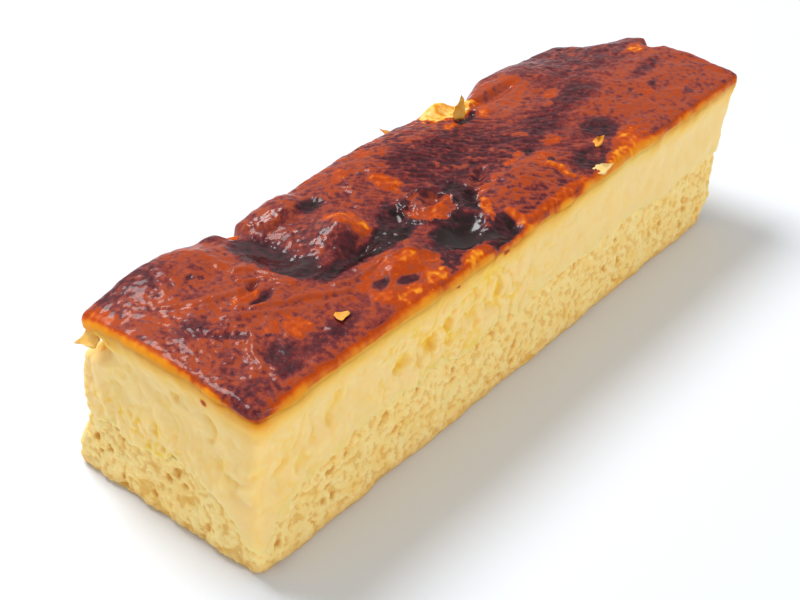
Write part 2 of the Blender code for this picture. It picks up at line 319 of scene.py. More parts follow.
# %% [markdown]
# ## How dark the crust is, from cream to black
# A burnt crust is a map of heat: cream where the knife opened it, then yellow, amber, orange, red-brown and
# maroon, and black where sugar pooled and burned. One number from 0 to 1, the browning, says how far each
# place has gone, and the finish turns it into colour. Each patch below is one that a baker could point at:
# its place, size and turn, its browning, how soft its edge is, how wet and smooth it is, and how far it
# rises or sinks.

# %% The patches of the crust
Patch = namedtuple("Patch", "name x y half_length half_width turn browning edge wet rise")
PATCHES = [
    Patch("near end", -52.0, -3.0, 17.0, 30.0, 0, 0.59, 0.35, 0.1, 0.0),
    Patch("far end", 52.0, -12.0, 20.0, 11.0, 0, 0.57, 0.3, 0.25, 0.0),
    Patch("far left", 50.0, 7.0, 15.0, 9.0, 0, 0.71, 0.3, 0.2, 0.0),
    Patch("wrinkled middle", 6.0, 0.0, 13.0, 8.5, -20, 0.75, 0.3, 0.1, 0.0),
    Patch("smooth left middle", 6.0, 11.0, 9.0, 4.5, -8, 0.61, 0.4, 0.35, 0.0),
    Patch("left middle", -12.0, 9.5, 9.0, 5.5, 0, 0.57, 0.4, 0.2, 0.0),
    Patch("near left hump", -42.0, 8.5, 6.0, 5.0, 10, 0.56, 0.5, 0.2, 0.0),
    Patch("near left haze", -52.0, 11.5, 5.5, 3.0, -10, 0.72, 0.6, 0.1, 0.0),
    Patch("near left edge", -47.0, 15.0, 10.0, 1.8, 4, 0.74, 0.6, 0.1, 0.0),
    Patch("notch bubble", -34.6, 14.8, 3.0, 2.4, 10, 0.70, 0.4, 0.6, 0.0),
    Patch("left pool", -33.4, 4.6, 3.6, 5.6, -6, 0.93, 0.3, 0.9, -0.2),
    Patch("left pool's foot", -33.2, -2.6, 3.4, 3.6, 15, 0.94, 0.3, 0.8, -0.2),
    Patch("left pool's tongue", -28.0, -6.6, 6.0, 1.6, 4, 0.93, 0.3, 0.7, -0.15),
    Patch("red blister", -24.6, 11.2, 4.6, 3.6, 0, 0.60, 0.15, 0.6, 0.35),
    Patch("behind red blister", -20.0, 7.4, 2.0, 1.6, 0, 0.93, 0.4, 0.4, -0.1),
    Patch("glassy blister", -25.0, 0.6, 4.0, 4.8, 0, 0.69, 0.18, 0.5, 0.3),
    Patch("foot of glassy blister", -25.0, -4.2, 2.4, 1.0, 10, 0.78, 0.4, 0.5, 0.0),
    Patch("orange of glassy blister", -20.8, -0.2, 2.3, 3.6, 12, 0.33, 0.3, 0.5, 0.1),
    Patch("dark crystals", -18.0, -7.0, 7.6, 2.3, 4, 0.96, 0.2, 0.35, -0.2),
    Patch("grey spot", -25.0, -7.2, 1.6, 1.0, 0, 0.99, 0.3, 1.0, -0.1),
    Patch("crystals by the ring", -14.0, -4.4, 3.0, 2.6, 0, 0.93, 0.3, 0.5, -0.1),
    Patch("right of the ring", -2.6, -8.2, 2.7, 5.0, -8, 0.95, 0.25, 0.35, -0.2),
    Patch("flat pool", -10.8, -14.0, 5.6, 3.5, 22, 1.0, 0.2, 1.0, -0.3),
    Patch("flat pool's spill", -7.6, -18.6, 2.4, 2.6, 0, 0.97, 0.2, 0.9, -0.2),
    Patch("purple-brown shore", -17.8, -16.2, 3.4, 3.0, 0, 0.82, 0.35, 0.6, -0.1),
    Patch("dark red edge", -3.6, -17.2, 2.4, 2.4, 0, 0.92, 0.3, 0.4, -0.1),
    Patch("ring's wall", -8.6, -7.0, 5.0, 4.7, 0, 0.84, 0.12, 0.6, 0.5),
    Patch("ring's floor", -8.6, -7.1, 4.1, 3.7, 0, 0.47, 0.1, 0.3, -0.5),
    Patch("ring's bright front", -9.6, -8.8, 2.8, 1.4, 0, 0.40, 0.35, 0.3, 0.0),
    Patch("ring's red crescent", -7.8, -5.1, 3.3, 1.6, -14, 0.66, 0.3, 0.5, -0.2),
    Patch("warm streak", -8.2, 2.4, 1.7, 2.7, 20, 0.36, 0.4, 0.4, 0.05),
    Patch("warm spots on the left", -11.4, 9.2, 1.8, 1.2, 20, 0.40, 0.5, 0.3, 0.05),
    Patch("warm spot by the edge", -3.9, 11.0, 1.5, 1.6, 0, 0.40, 0.4, 0.3, 0.05),
    Patch("red hollow", -13.0, -1.6, 1.9, 0.8, 30, 0.76, 0.4, 0.7, -0.1),
    Patch("orange ground", -25.0, -14.6, 6.8, 4.6, 0, 0.43, 0.3, 0.4, 0.1),
    Patch("bright orange a", -22.6, -12.8, 2.3, 1.4, 0, 0.30, 0.5, 0.5, 0.15),
    Patch("bright orange b", -27.0, -18.2, 2.8, 1.4, 0, 0.27, 0.5, 0.5, 0.05),
    Patch("bright orange c", -21.6, -18.2, 2.2, 1.3, 0, 0.30, 0.5, 0.5, 0.05),
    Patch("bright orange d", -30.2, -15.4, 1.4, 1.8, 0, 0.36, 0.5, 0.5, 0.05),
    Patch("maroon in the orange a", -28.2, -14.0, 1.7, 0.9, 15, 0.82, 0.4, 0.6, -0.1),
    Patch("maroon in the orange b", -24.8, -16.2, 2.0, 0.9, -10, 0.86, 0.4, 0.6, -0.1),
    Patch("yellow-green edge", -13.8, -19.2, 2.8, 1.1, 0, 0.22, 0.5, 0.5, 0.0),
    Patch("orange streak", -2.6, -13.0, 2.9, 0.9, 52, 0.29, 0.2, 0.6, 0.2),
    Patch("orange strip", -0.9, -17.6, 0.8, 2.2, 0, 0.32, 0.4, 0.5, 0.1),
    Patch("island", 7.4, -13.8, 7.2, 4.6, 0, 0.57, 0.25, 0.3, 0.15),
    Patch("island's back edge a", 3.6, -9.6, 4.4, 0.7, 9, 0.42, 0.4, 0.4, 0.0),
    Patch("island's back edge b", 11.2, -8.2, 3.2, 0.9, 18, 0.38, 0.4, 0.4, 0.0),
    Patch("island's bright spot", 12.6, -7.5, 1.3, 0.8, 0, 0.28, 0.4, 0.5, 0.1),
    Patch("dark notch", 15.0, -8.2, 1.3, 0.8, 0, 0.90, 0.4, 0.4, -0.2),
    Patch("island's right edge", 14.2, -11.2, 2.9, 1.6, 10, 0.40, 0.4, 0.4, 0.05),
    Patch("island's bright blob", 14.0, -15.0, 1.4, 2.2, 0, 0.29, 0.35, 0.5, 0.2),
    Patch("dark dimple", 15.2, -12.4, 1.0, 0.6, 0, 0.9, 0.4, 0.4, -0.2),
    Patch("island's front edge a", 3.0, -19.2, 4.6, 0.9, 0, 0.34, 0.4, 0.4, 0.0),
    Patch("island's front edge b", 10.4, -19.3, 4.0, 0.8, 0, 0.36, 0.4, 0.4, 0.0),
    Patch("dark right of the island", 20.4, -16.6, 4.4, 2.4, 0, 0.86, 0.3, 0.5, -0.1),
    Patch("dark red spot", 22.2, -16.4, 1.5, 0.8, 0, 0.76, 0.4, 0.8, -0.1),
    Patch("coral by the tear", 27.6, 7.4, 7.0, 6.0, -10, 0.53, 0.3, 0.7, 0.1),
    # Painted shade: the hole in the tear is painted near black, where shade falls under its edge.
    Patch("tear's hole", 18.0, 6.6, 2.8, 1.3, 10, 0.95, 0.3, 0.6, -0.8),
    Patch("tear's near lip", 13.4, 6.6, 1.6, 0.9, 0, 0.30, 0.4, 0.4, 0.1),
    Patch("tear's far lip", 21.0, 5.6, 1.7, 1.2, 30, 0.30, 0.4, 0.4, 0.15),
    Patch("orange under the coral", 23.6, 8.6, 1.6, 2.2, 10, 0.42, 0.4, 0.5, 0.0),
    Patch("open cheese", 18.0, 11.6, 6.2, 3.8, 4, 0.10, 0.12, 0.3, 0.0),
    Patch("mottled grey a", 23.0, -4.6, 8.0, 2.6, 6, 0.80, 0.7, 0.3, -0.05),
    Patch("mottled grey b", 36.6, -2.6, 4.6, 2.8, 0, 0.80, 0.7, 0.3, -0.05),
    Patch("small pool", 29.6, -12.4, 3.3, 2.7, 0, 0.88, 0.4, 0.5, -0.1),
    Patch("orange spot a", 33.4, 0.2, 2.0, 1.2, 0, 0.42, 0.5, 0.3, 0.05),
    Patch("orange spot b", 30.2, -1.6, 1.1, 0.8, 0, 0.45, 0.5, 0.3, 0.05),
    Patch("orange spot c", 18.2, -4.0, 0.9, 0.8, 0, 0.45, 0.5, 0.3, 0.05),
    Patch("orange spot d", 20.8, -8.6, 2.0, 1.2, 0, 0.47, 0.5, 0.3, 0.05),
    Patch("bright front edge a", 30.2, -18.0, 4.2, 2.0, 8, 0.31, 0.4, 0.5, 0.05),
    Patch("bright front edge b", 25.2, -19.5, 3.4, 1.0, 0, 0.26, 0.4, 0.5, 0.05),
    Patch("far orange dot", 45.0, -12.4, 1.5, 0.9, 0, 0.43, 0.5, 0.3, 0.0),
    Patch("far dark dot a", 48.2, -11.0, 1.0, 0.7, 0, 0.80, 0.5, 0.3, -0.05),
    Patch("far dark dot b", 51.2, -16.8, 1.0, 0.7, 0, 0.80, 0.5, 0.3, -0.05),
    Patch("far grey streak", 53.0, -6.8, 5.4, 1.1, 6, 0.74, 0.8, 0.3, -0.05),
    Patch("far orange chunk", 58.4, -1.2, 2.2, 1.4, -10, 0.26, 0.5, 0.4, 0.1),
    Patch("near orange a", -44.0, -2.4, 2.4, 1.3, 8, 0.37, 0.4, 0.5, 0.1),
    Patch("black slit", -42.9, -4.5, 2.4, 0.6, 8, 0.96, 0.6, 0.4, -0.3),
    Patch("near orange b", -43.2, -12.0, 1.6, 2.0, 20, 0.33, 0.45, 0.5, 0.1),
    Patch("near orange c", -46.0, -10.2, 1.2, 0.8, 0, 0.42, 0.5, 0.5, 0.05),
    Patch("near orange d", -50.4, -3.2, 0.9, 0.8, 0, 0.42, 0.5, 0.5, 0.05),
    Patch("near edge orange", -58.6, 10.4, 1.3, 3.0, 0, 0.36, 0.4, 0.4, 0.0),
    Patch("warm middle of the near end", -54.0, 2.0, 3.6, 1.6, 0, 0.52, 0.5, 0.4, 0.0),
    Patch("red fold", -51.0, -7.0, 3.2, 0.6, -45, 0.72, 0.4, 0.6, -0.15),
    Patch("red hollow by the corner", -55.0, -12.0, 1.8, 1.4, 0, 0.66, 0.4, 0.9, -0.2),
    Patch("maroon a", -48.6, -14.0, 2.6, 1.9, 0, 0.80, 0.8, 0.6, -0.1),
    Patch("maroon b", -50.0, -17.0, 1.8, 1.1, 0, 0.84, 0.8, 0.6, -0.1),
    Patch("maroon c", -41.0, -16.0, 5.0, 1.6, 4, 0.79, 0.8, 0.3, -0.1),
    Patch("purple a", -53.4, -2.6, 2.6, 1.8, 0, 0.76, 0.8, 0.3, 0.0),
    Patch("purple b", -57.4, -16.6, 2.8, 2.2, 0, 0.72, 0.8, 0.3, 0.0),
    Patch("red dot a", -46.0, 6.0, 0.6, 0.5, 0, 0.80, 0.6, 0.7, -0.1),
    Patch("red dot b", -44.8, 5.1, 0.5, 0.4, 0, 0.80, 0.6, 0.7, -0.1),
]
print(len(PATCHES), "patches")


def patch_mask(points, patch, raggedness):
    """1 inside a patch and 0 outside; its edge is as soft as the patch asks, and frays more where soft."""
    size = min(1.0, min(patch.half_length, patch.half_width) / 2.0)
    frayed = raggedness * min(1.0, 0.3 + 2.3 * patch.edge) / (0.6 + size)
    distance = ellipse(points[..., 0], points[..., 1], patch) + frayed
    return 1 - smooth(1 - patch.edge, 1 + patch.edge, distance)


# %% [markdown]
# ## Beads, wrinkles and pits
# Three finer forms break up the crust. Sugar beads, under a millimetre wide, stand close together at the
# near end and beside the blisters, and catch the light as bright specks. Wrinkles run slantwise over the
# middle, where the skin shrank as it cooled. The pools lie still and smooth, with a few pinholes. The tops
# of the beads and the crests of the wrinkles are painted a little paler, and the gaps between beads and the
# troughs between wrinkles darker: painted highlight and painted shade.

# %% Fine relief of the crust
Cluster = namedtuple("Cluster", "name x y half_length half_width turn strength")
BEADS = [
    Cluster("near end", -53.0, -8.0, 8.0, 11.0, 0, 0.8),
    Cluster("near edge", -57.6, -7.5, 2.6, 8.0, 0, 1.0),
    Cluster("near corner", -53.0, -16.5, 6.0, 3.2, 0, 0.9),
    Cluster("near left", -49.0, 7.5, 4.5, 3.0, 0, 0.2),
    Cluster("glassy blister", -27.0, 0.0, 4.2, 5.0, 0, 1.0),
    Cluster("foot of red blister", -27.0, 8.0, 4.0, 2.4, -30, 1.0),
    Cluster("dark crystals", -17.0, -7.4, 8.0, 2.2, 4, 0.9),
    Cluster("ring's right", -3.0, -9.0, 3.0, 4.6, 0, 1.0),
    Cluster("dark red edge", -3.2, -17.0, 3.0, 2.8, 0, 1.0),
    Cluster("island", 6.0, -16.0, 7.0, 3.4, 0, 0.6),
    Cluster("dark by the island", 19.0, -17.0, 4.5, 2.4, 0, 0.8),
]
WRINKLE_TURN, WRINKLE_DEPTH = math.radians(-47), 0.12
WRINKLE_MIDDLE, WRINKLE_REACH = 4, 44
RIDGE_SHARPNESS, RIDGE_BEND, RIDGE_BEND_SPAN = 3.2, 0.35, 3.5
BEAD_SPACING, BEAD_REACH, BEAD_HEIGHT = 0.95, 0.52, 0.14


def ridges(points, length, width, turn, seed):
    """Long narrow ridges: 1 on a crest and 0 away from it, running along the turned direction."""
    run = points[..., 0] * math.cos(turn) + points[..., 1] * math.sin(turn)
    side = points[..., 1] * math.cos(turn) - points[..., 0] * math.sin(turn)
    stretched = np.stack([run / length, side / width, points[..., 2] / width], axis=-1)
    bent = stretched + RIDGE_BEND * wave(points, RIDGE_BEND_SPAN, seed + 1)[..., None]
    return 1 - np.clip(np.abs(wave(bent, 1.0, seed)) * RIDGE_SHARPNESS, 0, 1)


def bead_bumps(points, spacing):
    """Round bumps about spacing apart, from 0 between them to 1 on top."""
    flat = (points / spacing).tolist()
    nearest = np.array([noise.voronoi(place)[0][0] for place in flat])
    return np.clip(1 - (nearest / BEAD_REACH) ** 2, 0, 1)


# %% [markdown]
# ## The burnt crust
# It is a skin that lies on the cheese and rolls over its edge. The grid over the top takes its browning
# from the patches, in order, so that small spots lie over the large ones. Down its side the browning fades
# from maroon through orange and amber to cream in two or three millimetres. How wide that edge glows
# changes along the bar, and the left side hardly glows.

# %% Lay out the top and the rolled rim
grid_u, grid_v = [share.ravel() for share in np.meshgrid(LENGTHWISE, CROSSWISE, indexing="ij")]
near, far, right, left = sides_at(CRUST_EDGE)
top_z = crust_height(between(near, far, grid_u), between(right, left, grid_v))
crust_top = plan(grid_u, grid_v, top_z)
numbers = np.arange(len(crust_top)).reshape(len(LENGTHWISE), len(CROSSWISE))
rim = grid_rim(numbers)

RIM_FALL = [0.0, 0.2, 0.4, 0.6, 0.8, 1.0, 1.15, 1.2]
rim_points = crust_top[rim]
ragged_fall = 1 + 0.35 * wave(rim_points, 2.4, 11) + 0.2 * wave(rim_points, 0.9, 12)
rim_z = rim_points[:, 2] - np.array(RIM_FALL)[:, None] * ragged_fall
rim_rows = plan(RING_U + 0 * rim_z, RING_V + 0 * rim_z, rim_z)
rim_out = outward(rim_rows)
rim_lumps = side_lumps(rim_rows)
print("crust edge from", rim_z[0].min().round(1), "to", rim_z[0].max().round(1), "mm high")

# %% Carry the rim's lumps a little way into the top
EDGE_REACH = 2.0
ROUND_CORNER_FROM, ROUND_CORNER_REACH = 52, 7
RIM_PROUD, RIM_TUCK = 0.04, 0.5
tree = kdtree.KDTree(RING)
for number, place in enumerate(rim_points):
    tree.insert((place[0], place[1], 0.0), number)
tree.balance()
extra_reach = ROUND_CORNER_REACH * (crust_top[:, 0] > ROUND_CORNER_FROM)
to_edge = inside_rim(crust_top[:, 0], crust_top[:, 1]) - extra_reach
for number in np.flatnonzero(to_edge < EDGE_REACH):
    x, y, _ = crust_top[number]
    _, closest, distance = tree.find((x, y, 0.0))
    share = max(0.0, 1 - distance / EDGE_REACH) ** 2
    crust_top[number] += share * rim_lumps[0, closest] * rim_out[0, closest]
rim_rows += rim_lumps[..., None] * rim_out
rim_rows[0] = crust_top[rim]
rim_rows[1:] += RIM_PROUD * rim_out[1:]
rim_rows[-1] -= RIM_TUCK * rim_out[-1]

# %% Browning, wetness and beads of the top
PLAIN_BROWNING, PLAIN_WETNESS = 0.64, 0.15
STILL_POOL = 0.94
PATCH_BEND, PATCH_BEND_SPAN = 0.55, 2.2
CLUSTER_SPREAD = 0.75
flat_top = np.stack([crust_top[:, 0], crust_top[:, 1], 0 * top_z], axis=-1)
coarse, fine = wave(flat_top, 2.6, 21), wave(flat_top, 0.9, 22)
grainy = wave(flat_top, 0.5, 23)
bend_x, bend_y = wave(flat_top, PATCH_BEND_SPAN, 24), wave(flat_top, PATCH_BEND_SPAN, 25)
bent_top = flat_top + PATCH_BEND * np.stack([bend_x, bend_y, 0 * top_z], axis=-1)
raggedness = 0.45 * coarse + 0.40 * fine + 0.22 * grainy
browning = PLAIN_BROWNING + 0.07 * coarse + 0.05 * fine
wet = np.full(len(crust_top), PLAIN_WETNESS)
rise = np.zeros(len(crust_top))
for patch in PATCHES:
    mask = patch_mask(bent_top, patch, raggedness)
    mottle = 0.10 * coarse + 0.16 * fine + 0.08 * grainy if patch.browning < STILL_POOL else 0.03 * fine
    browning = between(browning, patch.browning + mottle, mask)
    wet = between(wet, patch.wet, mask)
    rise = rise + patch.rise * mask
beads = np.zeros(len(crust_top))
for cluster in BEADS:
    spread = CLUSTER_SPREAD * ellipse(flat_top[:, 0], flat_top[:, 1], cluster)
    beads = np.maximum(beads, cluster.strength * dome(spread))
beads = np.clip(beads * (1 + 0.8 * coarse + 0.5 * fine), 0, 1)
print("browning from", browning.min().round(2), "to", browning.max().round(2))

# %% Draw the soft strands of sugar
Strand = namedtuple("Strand", "name width height browning bends")
STRANDS = [
    Strand("long strand", 1.0, 0.39, 0.52,
           [(-46.3, -3.7), (-41.9, -6.8), (-37.2, -8.5), (-32.6, -11.6)]),
    Strand("strand beside it", 0.9, 0.286, 0.55,
           [(-48.8, -3.8), (-44.1, -7.3), (-37.8, -11.0), (-33.6, -12.9)]),
    Strand("strand above the slit", 0.9, 0.325, 0.51,
           [(-52.7, 4.1), (-49.4, 1.6), (-45.7, -0.5), (-42.7, -1.7)]),
    Strand("strand to the corner", 0.8, 0.364, 0.55,
           [(-48.0, -7.9), (-51.0, -11.7), (-52.2, -14.5)]),
    Strand("upper arc", 0.7, 0.286, 0.49,
           [(-40.5, 3.1), (-38.2, 1.2), (-36.8, -1.8), (-36.4, -5.2)]),
    Strand("lower arc", 0.6, 0.26, 0.47,
           [(-41.8, 0.9), (-39.1, -0.7), (-37.6, -3.4), (-37.0, -5.4)]),
    Strand("salmon swell", 1.6, 0.195, 0.5,
           [(-41.8, 12.6), (-40.9, 8.0), (-40.1, 3.5), (-38.2, 2.0)]),
    Strand("fold of the orange", 0.8, 0.325, 0.57,
           [(-33.0, -9.6), (-29.0, -10.8), (-24.0, -10.6), (-19.5, -12.6)]),
    Strand("shore of the flat pool", 0.7, 0.26, 0.69,
           [(-19.5, -12.0), (-16.5, -15.8), (-13.0, -17.8), (-8.5, -19.0)]),
]


def strand_mask(x, y, strand):
    """1 on the crest of a strand and 0 away from it."""
    nearest = np.full(x.shape, 1e9)
    for (start_x, start_y), (end_x, end_y) in zip(strand.bends, strand.bends[1:]):
        run_x, run_y = end_x - start_x, end_y - start_y
        share = np.clip(((x - start_x) * run_x + (y - start_y) * run_y) / (run_x**2 + run_y**2), 0, 1)
        nearest = np.minimum(nearest, np.hypot(x - start_x - share * run_x, y - start_y - share * run_y))
    return dome(nearest / strand.width)


STRAND_WETNESS = 0.3
for strand in STRANDS:
    mask = strand_mask(bent_top[:, 0], bent_top[:, 1], strand)
    browning = between(browning, strand.browning + 0.04 * fine, 0.85 * mask)
    wet = between(wet, STRAND_WETNESS, 0.6 * mask)
    rise = rise + strand.height * mask
    beads = beads * (1 - mask)

# %% Raise the fine relief of the top
away = smooth(0.0, 1.2, inside_rim(flat_top[:, 0], flat_top[:, 1]))
skin = (1 - smooth(0.6, 0.95, wet)) * away
middle = dome((flat_top[:, 0] - WRINKLE_MIDDLE) / WRINKLE_REACH)
wrinkles = ridges(flat_top, 4.5, 1.05, WRINKLE_TURN, 31) + 0.6 * ridges(flat_top, 2.2, 0.6, WRINKLE_TURN, 33)
crust_top[:, 2] += skin * WRINKLE_DEPTH * (wrinkles - 0.5) * (0.35 + 0.9 * middle)
bumps = bead_bumps(flat_top, BEAD_SPACING)
crust_top[:, 2] += beads * away * BEAD_HEIGHT * (bumps - 0.3)
crust_top[:, 2] += (0.3 + 0.7 * away) * rise + skin * (0.10 * wave(flat_top, 1.1, 35) + 0.05 * grainy)
# Painted shade and highlight: the troughs between the wrinkles are darkened and their crests lightened, where
# the crust is brown.
browning = browning - 0.16 * skin * middle * (wrinkles - 0.7) * (browning > 0.5)
# Painted highlight and shade: the tops of the beads are painted a little paler and the gaps between them a
# little darker.
browning = browning + 0.05 * beads * (0.5 - bumps)

# %% Fade the browning over the rim
LONG_SIDE_GLOW = [
    (-58, 0.35), (-53, 1.0), (-25, 1.1), (-21, 0.65), (-15, 1.0), (-10, 0.3), (-7, 0.3), (-3, 0.7), (3, 0.6),
    (9, 0.4), (15, 0.9), (21, 1.2), (24, 1.7), (31, 1.7), (35, 0.85), (62, 0.7),
]
NEAR_END, NEAR_END_GLOW = -57.5, [(-14, 0.3), (-4, 0.75)]
LEFT_SIDE_GLOW = 0.05
TOP_FADE = [(0.0, 0.17), (0.3, 0.22), (0.6, 0.29), (0.85, 0.38), (1.05, 0.55), (1.25, 1.01)]
SIDE_FADE = [
    (-1.0, 0.40), (-0.4, 0.26), (0.0, 0.17), (0.6, 0.14), (1.3, 0.11), (2.2, 0.07), (3.2, 0.03), (4.4, 0.0),
]
DARK_EDGE_DROP = 1.2


def glow_width(x, y):
    """How wide the glow of the crust's edge is, where 1 is a millimetre."""
    on_long_side = np.where(y < 0, along(LONG_SIDE_GLOW, x), LEFT_SIDE_GLOW)
    return np.where(x < NEAR_END, along(NEAR_END_GLOW, y), on_long_side)


inside = inside_rim(flat_top[:, 0], flat_top[:, 1]) + 0.25 * coarse + 0.2 * fine
glow_top = glow_width(flat_top[:, 0], flat_top[:, 1])
browning = np.minimum(browning, along(TOP_FADE, inside / glow_top))
below = rim_points[:, 2] - rim_rows[..., 2]
glow_rim = glow_width(rim_rows[..., 0], rim_rows[..., 1])


def edge_browning(below, glow, points):
    """Browning of the side at a depth below the crust's edge, dark for longer where the edge glows less."""
    depth = below - DARK_EDGE_DROP * (1 - glow) + 0.3 * wave(points, 1.8, 41) + 0.15 * wave(points, 0.7, 42)
    return along(SIDE_FADE, depth)


rim_browning = np.minimum(edge_browning(below, glow_rim, rim_rows), browning[rim] + 0 * below)

# %% Write the crust's mesh
rings = [rim] + [len(crust_top) + RING * row + np.arange(RING) for row in range(len(RIM_FALL) - 1)]
quads = np.concatenate([grid_quads(numbers)] + [band(upper, lower) for upper, lower in zip(rings, rings[1:])])
middle_number = len(crust_top) + RING * (len(RIM_FALL) - 1)
crust_fan = fan(middle_number, rings[-1], False)
CRUST_DEPTH = 2.5
fan_middle = [[0.0, 0.0, CRUST_EDGE - CRUST_DEPTH]]
crust_points = np.concatenate([crust_top, rim_rows[1:].reshape(-1, 3), fan_middle])


def with_rim(top_values, rim_values):
    """A mark's values on the top, then on the rows of the rim, and 0 in the middle of the fan."""
    return np.concatenate([top_values, np.ravel(rim_values[1:]), [0.0]])


RIM_WETNESS = 0.25
dry_rim = np.full(rim_rows.shape[:2], RIM_WETNESS)
burnt_crust = write_mesh("burnt_crust", crust_points, quads, crust_fan, {
    "browning": with_rim(browning, rim_browning),
    "wet": with_rim(wet, dry_rim),
    "beads": with_rim(beads, 0 * dry_rim),
})

# %% [markdown]
# ## The baked cheese
# Baked cheese cuts like soft butter in places and tears like curd in others. The far third of the long side
# is smooth, with long marks of the knife. The middle is torn into rounded curds, with creases and hollows
# of a deeper yellow, partly its own colour and partly painted shade. The lower edge hangs over the sponge
# in ragged flaps. So the cheese is rows of points from under the crust down to a ragged edge that stands a
# little proud of the sponge, and two sizes of noise round the curds. Just under the crust the cheese swells
# out a hair, as it does where the two cling together, so that no groove shows there.

# %% Hollows and swirls that the knife left in the cut faces
Hollow = namedtuple("Hollow", "name face x y half_length half_width turn depth")
HOLLOWS = [
    Hollow("deep tear a", "right", -24.6, 19.0, 1.9, 1.1, 25, 0.84),
    Hollow("deep tear b", "right", -19.4, 20.4, 1.1, 2.0, -20, 0.91),
    Hollow("deep tear c", "right", -8.0, 20.6, 1.1, 1.8, -20, 0.7),
    Hollow("deep tear d", "right", -30.2, 19.6, 2.0, 0.9, 20, 0.77),
    Hollow("small tear e", "right", -21.0, 17.4, 1.2, 0.9, 0, 0.56),
    Hollow("tear f", "right", -45.0, 20.5, 0.7, 2.6, -40, 0.42),
    Hollow("tear g", "right", -52.0, 16.0, 1.0, 1.8, -30, 0.42),
    Hollow("scoop under the edge", "right", -12.0, 23.0, 2.2, 2.6, -30, 0.35),
    Hollow("near hollow a", "near", -4.4, 13.2, 1.8, 1.2, 30, 0.91),
    Hollow("near hollow b", "near", 0.3, 13.4, 1.0, 0.8, 0, 0.49),
    Hollow("near hollow c", "near", -4.5, 24.0, 1.1, 0.8, 30, 0.35),
    Hollow("near hollow d", "near", -12.4, 17.2, 1.5, 1.0, 20, 0.42),
    Hollow("near hollow e", "near", -1.2, 17.0, 1.3, 1.0, 0, 0.35),
    Hollow("near hollow f", "near", 6.0, 22.5, 0.9, 0.7, 0, 0.28),
    Hollow("tear under the left corner", "near", 12.8, 25.6, 3.6, 1.8, -20, 2.94),
]
Swirl = namedtuple("Swirl", "name face x y radius width start end depth")
SWIRLS = [
    Swirl("upper C", "near", -10.2, 21.6, 1.9, 0.7, 100, 250, 0.35),
    Swirl("big C", "near", -17.4, 20.4, 3.0, 0.8, 180, 270, 0.3),
    Swirl("lower C", "near", -15.6, 19.4, 3.9, 0.7, 220, 300, 0.25),
    Swirl("corner fold", "right", -57.0, 20.0, 3.4, 0.9, 270, 340, 0.3),
]
SWIRL_FADE = 20


def on_face(distance):
    """1 on a cut face, fading to 0 three millimetres behind it."""
    return 1 - smooth(1.0, 3.0, distance)


def face_places(points, face):
    """Places on a cut face, as distance along it and height, and how much each point belongs to it."""
    near, _, right, _ = sides_at(points[..., 2])
    if face == "near":
        return points[..., 1], points[..., 2], on_face(points[..., 0] - near)
    return points[..., 0], points[..., 2], on_face(points[..., 1] - right)


def hollow_depth(points):
    """Depth of the hollows and swirls at each point of the sides."""
    depth = np.zeros(points.shape[:-1])
    ragged = 0.75 * wave(points, 1.7, 51) + 0.45 * wave(points, 0.8, 50)
    for hollow in HOLLOWS:
        x, y, share = face_places(points, hollow.face)
        mask = 1 - smooth(0.2, 1.4, ellipse(x, y, hollow) + ragged)
        depth = np.maximum(depth, hollow.depth * mask * share)
    for swirl in SWIRLS:
        x, y, share = face_places(points, swirl.face)
        reach = np.abs(np.hypot(x - swirl.x, y - swirl.y) - swirl.radius) / swirl.width
        angle = np.degrees(np.arctan2(y - swirl.y, x - swirl.x)) % 360
        begun = smooth(swirl.start - SWIRL_FADE, swirl.start + SWIRL_FADE, angle)
        ended = smooth(swirl.end - SWIRL_FADE, swirl.end + SWIRL_FADE, angle)
        depth = np.maximum(depth, swirl.depth * dome(reach) * (begun * (1 - ended)) * share)
    return depth


# %% Where the cheese is torn, and the shape of its curds
TORN = [
    (-60, 0.3), (-54, 0.45), (-47, 0.5), (-42, 0.3), (-36, 0.5), (-28, 1.0), (-6, 1.0), (0, 0.6), (8, 0.35),
    (20, 0.2), (60, 0.1),
]
CURD_SPAN, SMALL_CURD_SPAN, CURD_STRETCH = 3.6, 1.7, 0.75
CRUMBLY_FROM, CRUMBLY_HEIGHT = -9.0, 15.5


def torn_share(points):
    """How torn the cheese is, from 0 where it is smooth to 1."""
    share = along(TORN, points[..., 0])
    below_crust = smooth(1.5, 6.0, CRUST_EDGE - points[..., 2])
    return np.clip(share * (0.15 + 0.85 * below_crust) * (1 + 0.6 * wave(points, 4.0, 52)), 0, 1)


def curds(points):
    """Rounded lumps of curd, from 0 in the creases between them to 1 on their tops."""
    tall = points * np.array([1.0, 1.0, CURD_STRETCH])
    large = np.abs(wave(tall, CURD_SPAN, 53) + 0.25 * wave(points, 1.1, 60))
    small = np.abs(wave(points, SMALL_CURD_SPAN, 54))
    return np.clip(1.25 * (large + 0.02) ** 0.7 + 0.55 * (small + 0.01) ** 0.7, 0, 1)


def crumb_share(points):
    """Where the left part of the near end is as grainy as the sponge, from 0 to 1."""
    near = sides_at(points[..., 2])[0]
    to_left = smooth(CRUMBLY_FROM, CRUMBLY_FROM + 5, points[..., 1])
    too_high = smooth(CRUMBLY_HEIGHT, CRUMBLY_HEIGHT + 4, points[..., 2] + wave(points, 4.0, 57))
    return on_face(points[..., 0] - near) * to_left * (1 - too_high)


def knife_marks(points):
    """Fine lines that the knife drew along the bar."""
    return wave(points * np.array([0.08, 0.08, 1.0]), 0.8, 55)


